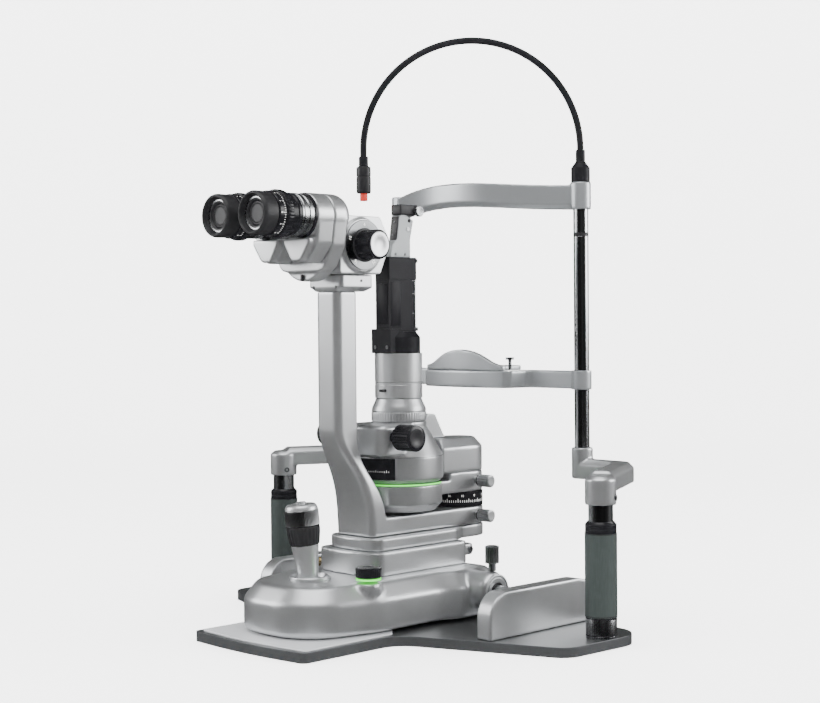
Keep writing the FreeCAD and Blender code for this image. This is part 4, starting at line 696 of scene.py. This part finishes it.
# ---------------------------------------------------------------- illumination tower
def make_tower_details():
    tower = middle("aperture_dial")
    drum = Matrix.Translation((tower.x, tower.y, 0))
    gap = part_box("light_ring")[1].z / MM
    glow = curved_plate(45.6, gap - 2.5, gap - 0.6, -205, 30, 0.6, 64)
    add_piece("glow_band", glow, "green_light", "illumination", drum, replaced=["light_ring"])
    window = curved_plate(46.8, gap + 4, gap + 26.5, -142, -50, 0.5, 40)
    add_piece("scale_window", window, "black_knob", "illumination", drum)
    add_piece("scale_marks", ticks_round(47.35, gap + 12, 26, -136, -58), "white_plastic", "illumination", drum,
              smooth=False)
    add_piece("drum_seam", ring_mesh(46.6, 47.12, gap + 27.2, gap + 27.6, 96), "satin_black", "illumination", drum)
    post = middle("pivot_post")
    scale = Matrix.Translation((post.x, post.y, 0))
    add_piece("swing_scale", ticks_round(28.02, 124, 36, -95, 85, 4.2, 2.6, 0.5), "white_plastic", "lift", scale,
              smooth=False)
    numbers = []
    for i, text in enumerate(("30", "15", "0", "15", "30")):
        turn = Matrix.Rotation(math.radians(-65 + 30 * i), 4, "Z")
        stand = Matrix.Translation((28.05 * MM, 0, 131.2 * MM)) @ Matrix.Rotation(math.pi / 2, 4, "Z")
        numbers.append((text_mesh(text, 3.6), turn @ stand @ Matrix.Rotation(math.pi / 2, 4, "X")))
    add_piece("swing_numbers", merged(numbers), "white_plastic", "lift", scale, smooth=False)

    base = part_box("aperture_dial")
    dome = [(29.0, 0), (29.4, 0.5), (29.4, 9), (28.8, 9.5), (28.8, 10.3), (29.2, 10.8), (28.6, 14), (27.2, 17.2),
            (25.8, 20), (24.9, 22.8), (24.4, 23.8)]
    add_piece("aperture_dome", turned(dome, 360, ribbed((1, 2), 60, 0.02, 2)), "silver_paint", "aperture",
              facing(Z_AXIS, (tower.x, tower.y, base[0].z)), replaced=["aperture_dial"])
    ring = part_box("filter_ring")
    tall = (ring[1].z - ring[0].z) / MM
    sleeve = [(24.8, 0), (25.4, 0.4), (25.4, tall - 3), (25.0, tall - 2.6), (25.0, tall - 2.0), (25.4, tall - 1.6),
              (25.4, tall - 0.4), (24.8, tall)]
    add_piece("filter_sleeve", turned(sleeve, 96), "bright_aluminium", "filter",
              facing(Z_AXIS, (tower.x, tower.y, ring[0].z)), replaced=["filter_ring"])
    add_piece("filter_lever", rounded_block(5, 7, 3, 0.8), "satin_black", "filter",
              Matrix.Translation((tower.x + 0.004, tower.y - 0.0275, ring[0].z + 7 * MM)))

    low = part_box("tower_tube")[0]
    back = -0.0275  # where the round tube stands, behind the box
    for i, level in enumerate((0.331, 0.352, 0.366)):
        add_piece(f"tube_band_{i}", ring_mesh(7.4, 7.9, 0, 0.9, 64), "dark_steel", "illumination",
                  facing(Z_AXIS, (tower.x, back, level)))
    rod = [(1.5, 0), (1.8, 0.4), (1.8, 78), (1.5, 78.6)]
    add_piece("tilt_guide_rod", turned(rod, 32), "chrome_rod", "illumination",
              facing(Z_AXIS, (tower.x, back + 0.0105, 0.311)))
    for i, level in enumerate((0.3125, 0.386)):
        add_piece(f"rod_holder_{i}", rounded_block(7, 12, 4, 1.0), "satin_black", "illumination",
                  Matrix.Translation((tower.x, back + 0.007, level)))
    for side, name in SIDES:
        add_piece(f"clip_screw_{name}", socket_screw(2.0, 0.8), "dark_steel", "illumination",
                  facing(-Y_AXIS, (side * 0.009, low.y + 0.2 * MM, 0.2955)))
        panel = plate([(-62.5, 318), (-48, 318), (-48, 365), (-62.5, 365)], 0.5)
        basis = Matrix(((0, 0, side, 0), (1, 0, 0, 0), (0, 1, 0, 0), (0, 0, 0, 1)))
        add_piece(f"box_side_panel_{name}", panel, "dark_plastic", "illumination",
                  Matrix.Translation((side * 10.1 * MM, 0, 0)) @ basis)
    add_piece("box_front_panel", plate([(-8, 320), (8, 320), (8, 363), (-8, 363)], 0.5), "dark_plastic",
              "illumination", Matrix.Translation((0, -64.9 * MM, 0)) @ Matrix.Rotation(math.pi / 2, 4, "X"))


def make_prism_head_details():
    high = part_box("prism_head")[1]
    slope = math.atan2(3.5, 24)
    front = Matrix.Translation((0, -47.7 * MM, 411 * MM)) @ Matrix.Rotation(math.pi / 2 - slope, 4, "X")
    add_piece("head_front_plate", plate([(-5.2, -4), (5.2, -4), (5.2, 24), (-5.2, 24)], 1.2), "satin_black",
              "illumination", front)
    for i, height in enumerate((4, 18)):
        add_piece(f"head_front_screw_{i}", socket_screw(1.3, 0.6), "dark_steel", "illumination",
                  front @ Matrix.Translation((0, height * MM, 1.2 * MM)))
    add_piece("mirror_carrier", rounded_block(15, 26, 11, 1.2), "satin_black", "illumination",
              Matrix.Translation((0, -0.031, 0.4365)))
    add_piece("mirror_roller", turned([(5.2, 0), (5.8, 0.5), (5.8, 3.6), (5.2, 4.2), (2, 4.4)], 40), "bare_steel",
              "illumination", facing(X_AXIS, (7.4 * MM, -0.0185, 0.441)))
    for side, name in SIDES:
        face = side * (high.x - 0.1 * MM)
        add_piece(f"head_disc_{name}", end_disc(2.4, 0.9), "bright_aluminium", "illumination",
                  facing(X_AXIS * side, (face, -0.0315, 0.4215)))
        add_piece(f"head_pivot_screw_{name}", socket_screw(2.0, 0.8), "satin_black", "illumination",
                  facing(X_AXIS * side, (face, -0.0295, 0.4305)))
        for i, (y, z) in enumerate(((-0.050, 0.3945), (-0.036, 0.3945))):
            add_piece(f"head_foot_screw_{name}_{i}", socket_screw(1.5, 0.7), "dark_steel", "illumination",
                      facing(X_AXIS * side, (face, y, z)))


# ---------------------------------------------------------------- head rest
def make_head_rest_details():
    lamp_low, lamp_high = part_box("fixation_lamp")
    axis = middle("fixation_lamp")
    tip = [(3.7, 0), (4.1, 0.6), (4.1, 6.4), (3.9, 7.8)]
    add_piece("fixation_tip", turned(tip, 40), "red_light", "fixation_light",
              facing(Z_AXIS, (axis.x, axis.y, lamp_low.z)))
    shell = [(6.6, 0), (7.5, 0.7), (7.7, 1.6), (7.7, 17), (7.2, 17.4), (7.2, 18.2), (7.7, 18.6), (7.7, 26.6),
             (7.2, 28), (5.4, 28.9)]
    add_piece("fixation_lamp_shell", turned(shell, 56), "satin_black", "fixation_light",
              facing(Z_AXIS, (axis.x, axis.y, lamp_high.z - 29 * MM)), replaced=["fixation_lamp"])
    low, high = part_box("grip_rings")
    pillar_x = high.x - 15.5 * MM
    rod_x, rod_y, mark_z = 0.1365, 0.0993, 0.4122
    for side, name in SIDES:
        foot = [(15.5, 0), (15.5, 2), (15.0, 2.6), (15.5, 3.2), (15.5, 18.6), (15.1, 19.4), (15.5, 20)]
        add_piece(f"pillar_foot_{name}", turned(foot, 72), "bare_steel", "stand",
                  facing(Z_AXIS, (side * pillar_x, 0, low.z + 0.2 * MM)))
        top = [(15.6, 0), (15.6, 3.4), (15.1, 3.9), (15.1, 4.6), (15.6, 5.1), (15.6, 8.4), (13.4, 11.4)]
        add_piece(f"pillar_collar_{name}", turned(top, 72), "black_knob", "stand",
                  facing(Z_AXIS, (side * pillar_x, 0, high.z - 11.5 * MM)))
        outward = Vector((0.9, side * 0.44, 0))
        spot = Vector((side * pillar_x, 0, 0.148)) + outward.normalized() * 0.0149
        add_piece(f"bracket_screw_{name}", socket_screw(3.0, 1.3), "dark_steel", "stand", facing(outward, spot))
        add_piece(f"marker_ring_{name}", ring_mesh(7.6, 8.08, 0, 3.6, 48), "satin_black", "stand",
                  facing(Z_AXIS, (side * rod_x, rod_y, mark_z)))
    add_piece("grip_foot_bands", merged([(ring_mesh(15.6, 16.1, 0, 0.7, 72), facing(Z_AXIS, (side * pillar_x, 0, z)))
                                         for side in (1, -1) for z in (0.0312, 0.1122)]), "satin_black", "stand")


def make_chin_details():
    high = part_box("chin_rest_bar")[1]
    pin = middle("paper_pin")
    for side, name in SIDES:
        leaf = plate([(-5 * side, -8), (5 * side, -8), (8 * side, 22), (-5 * side, 22)], 1.3)
        add_piece(f"paper_plate_{name}", leaf, "white_plastic", "chin_rest",
                  Matrix.Translation((side * pin.x, pin.y, high.z - 2.0 * MM)))
    bar_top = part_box("chin_cup")[0].z
    sheets = plate([(-42, 0), (42, 0), (40, 16), (-40, 16)], 0.9)
    add_piece("chin_paper_stack", sheets, "white_plastic", "chin_rest",
              Matrix.Translation((0, 0.0685, bar_top + 4.9 * MM)))


make_castings()
make_knobs()
make_oculars()
make_head_details()
make_joystick()
make_carriage_details()
make_tower_details()
make_prism_head_details()
make_head_rest_details()
make_chin_details()

dress_cad_nodes()
make_stage()
make_camera()
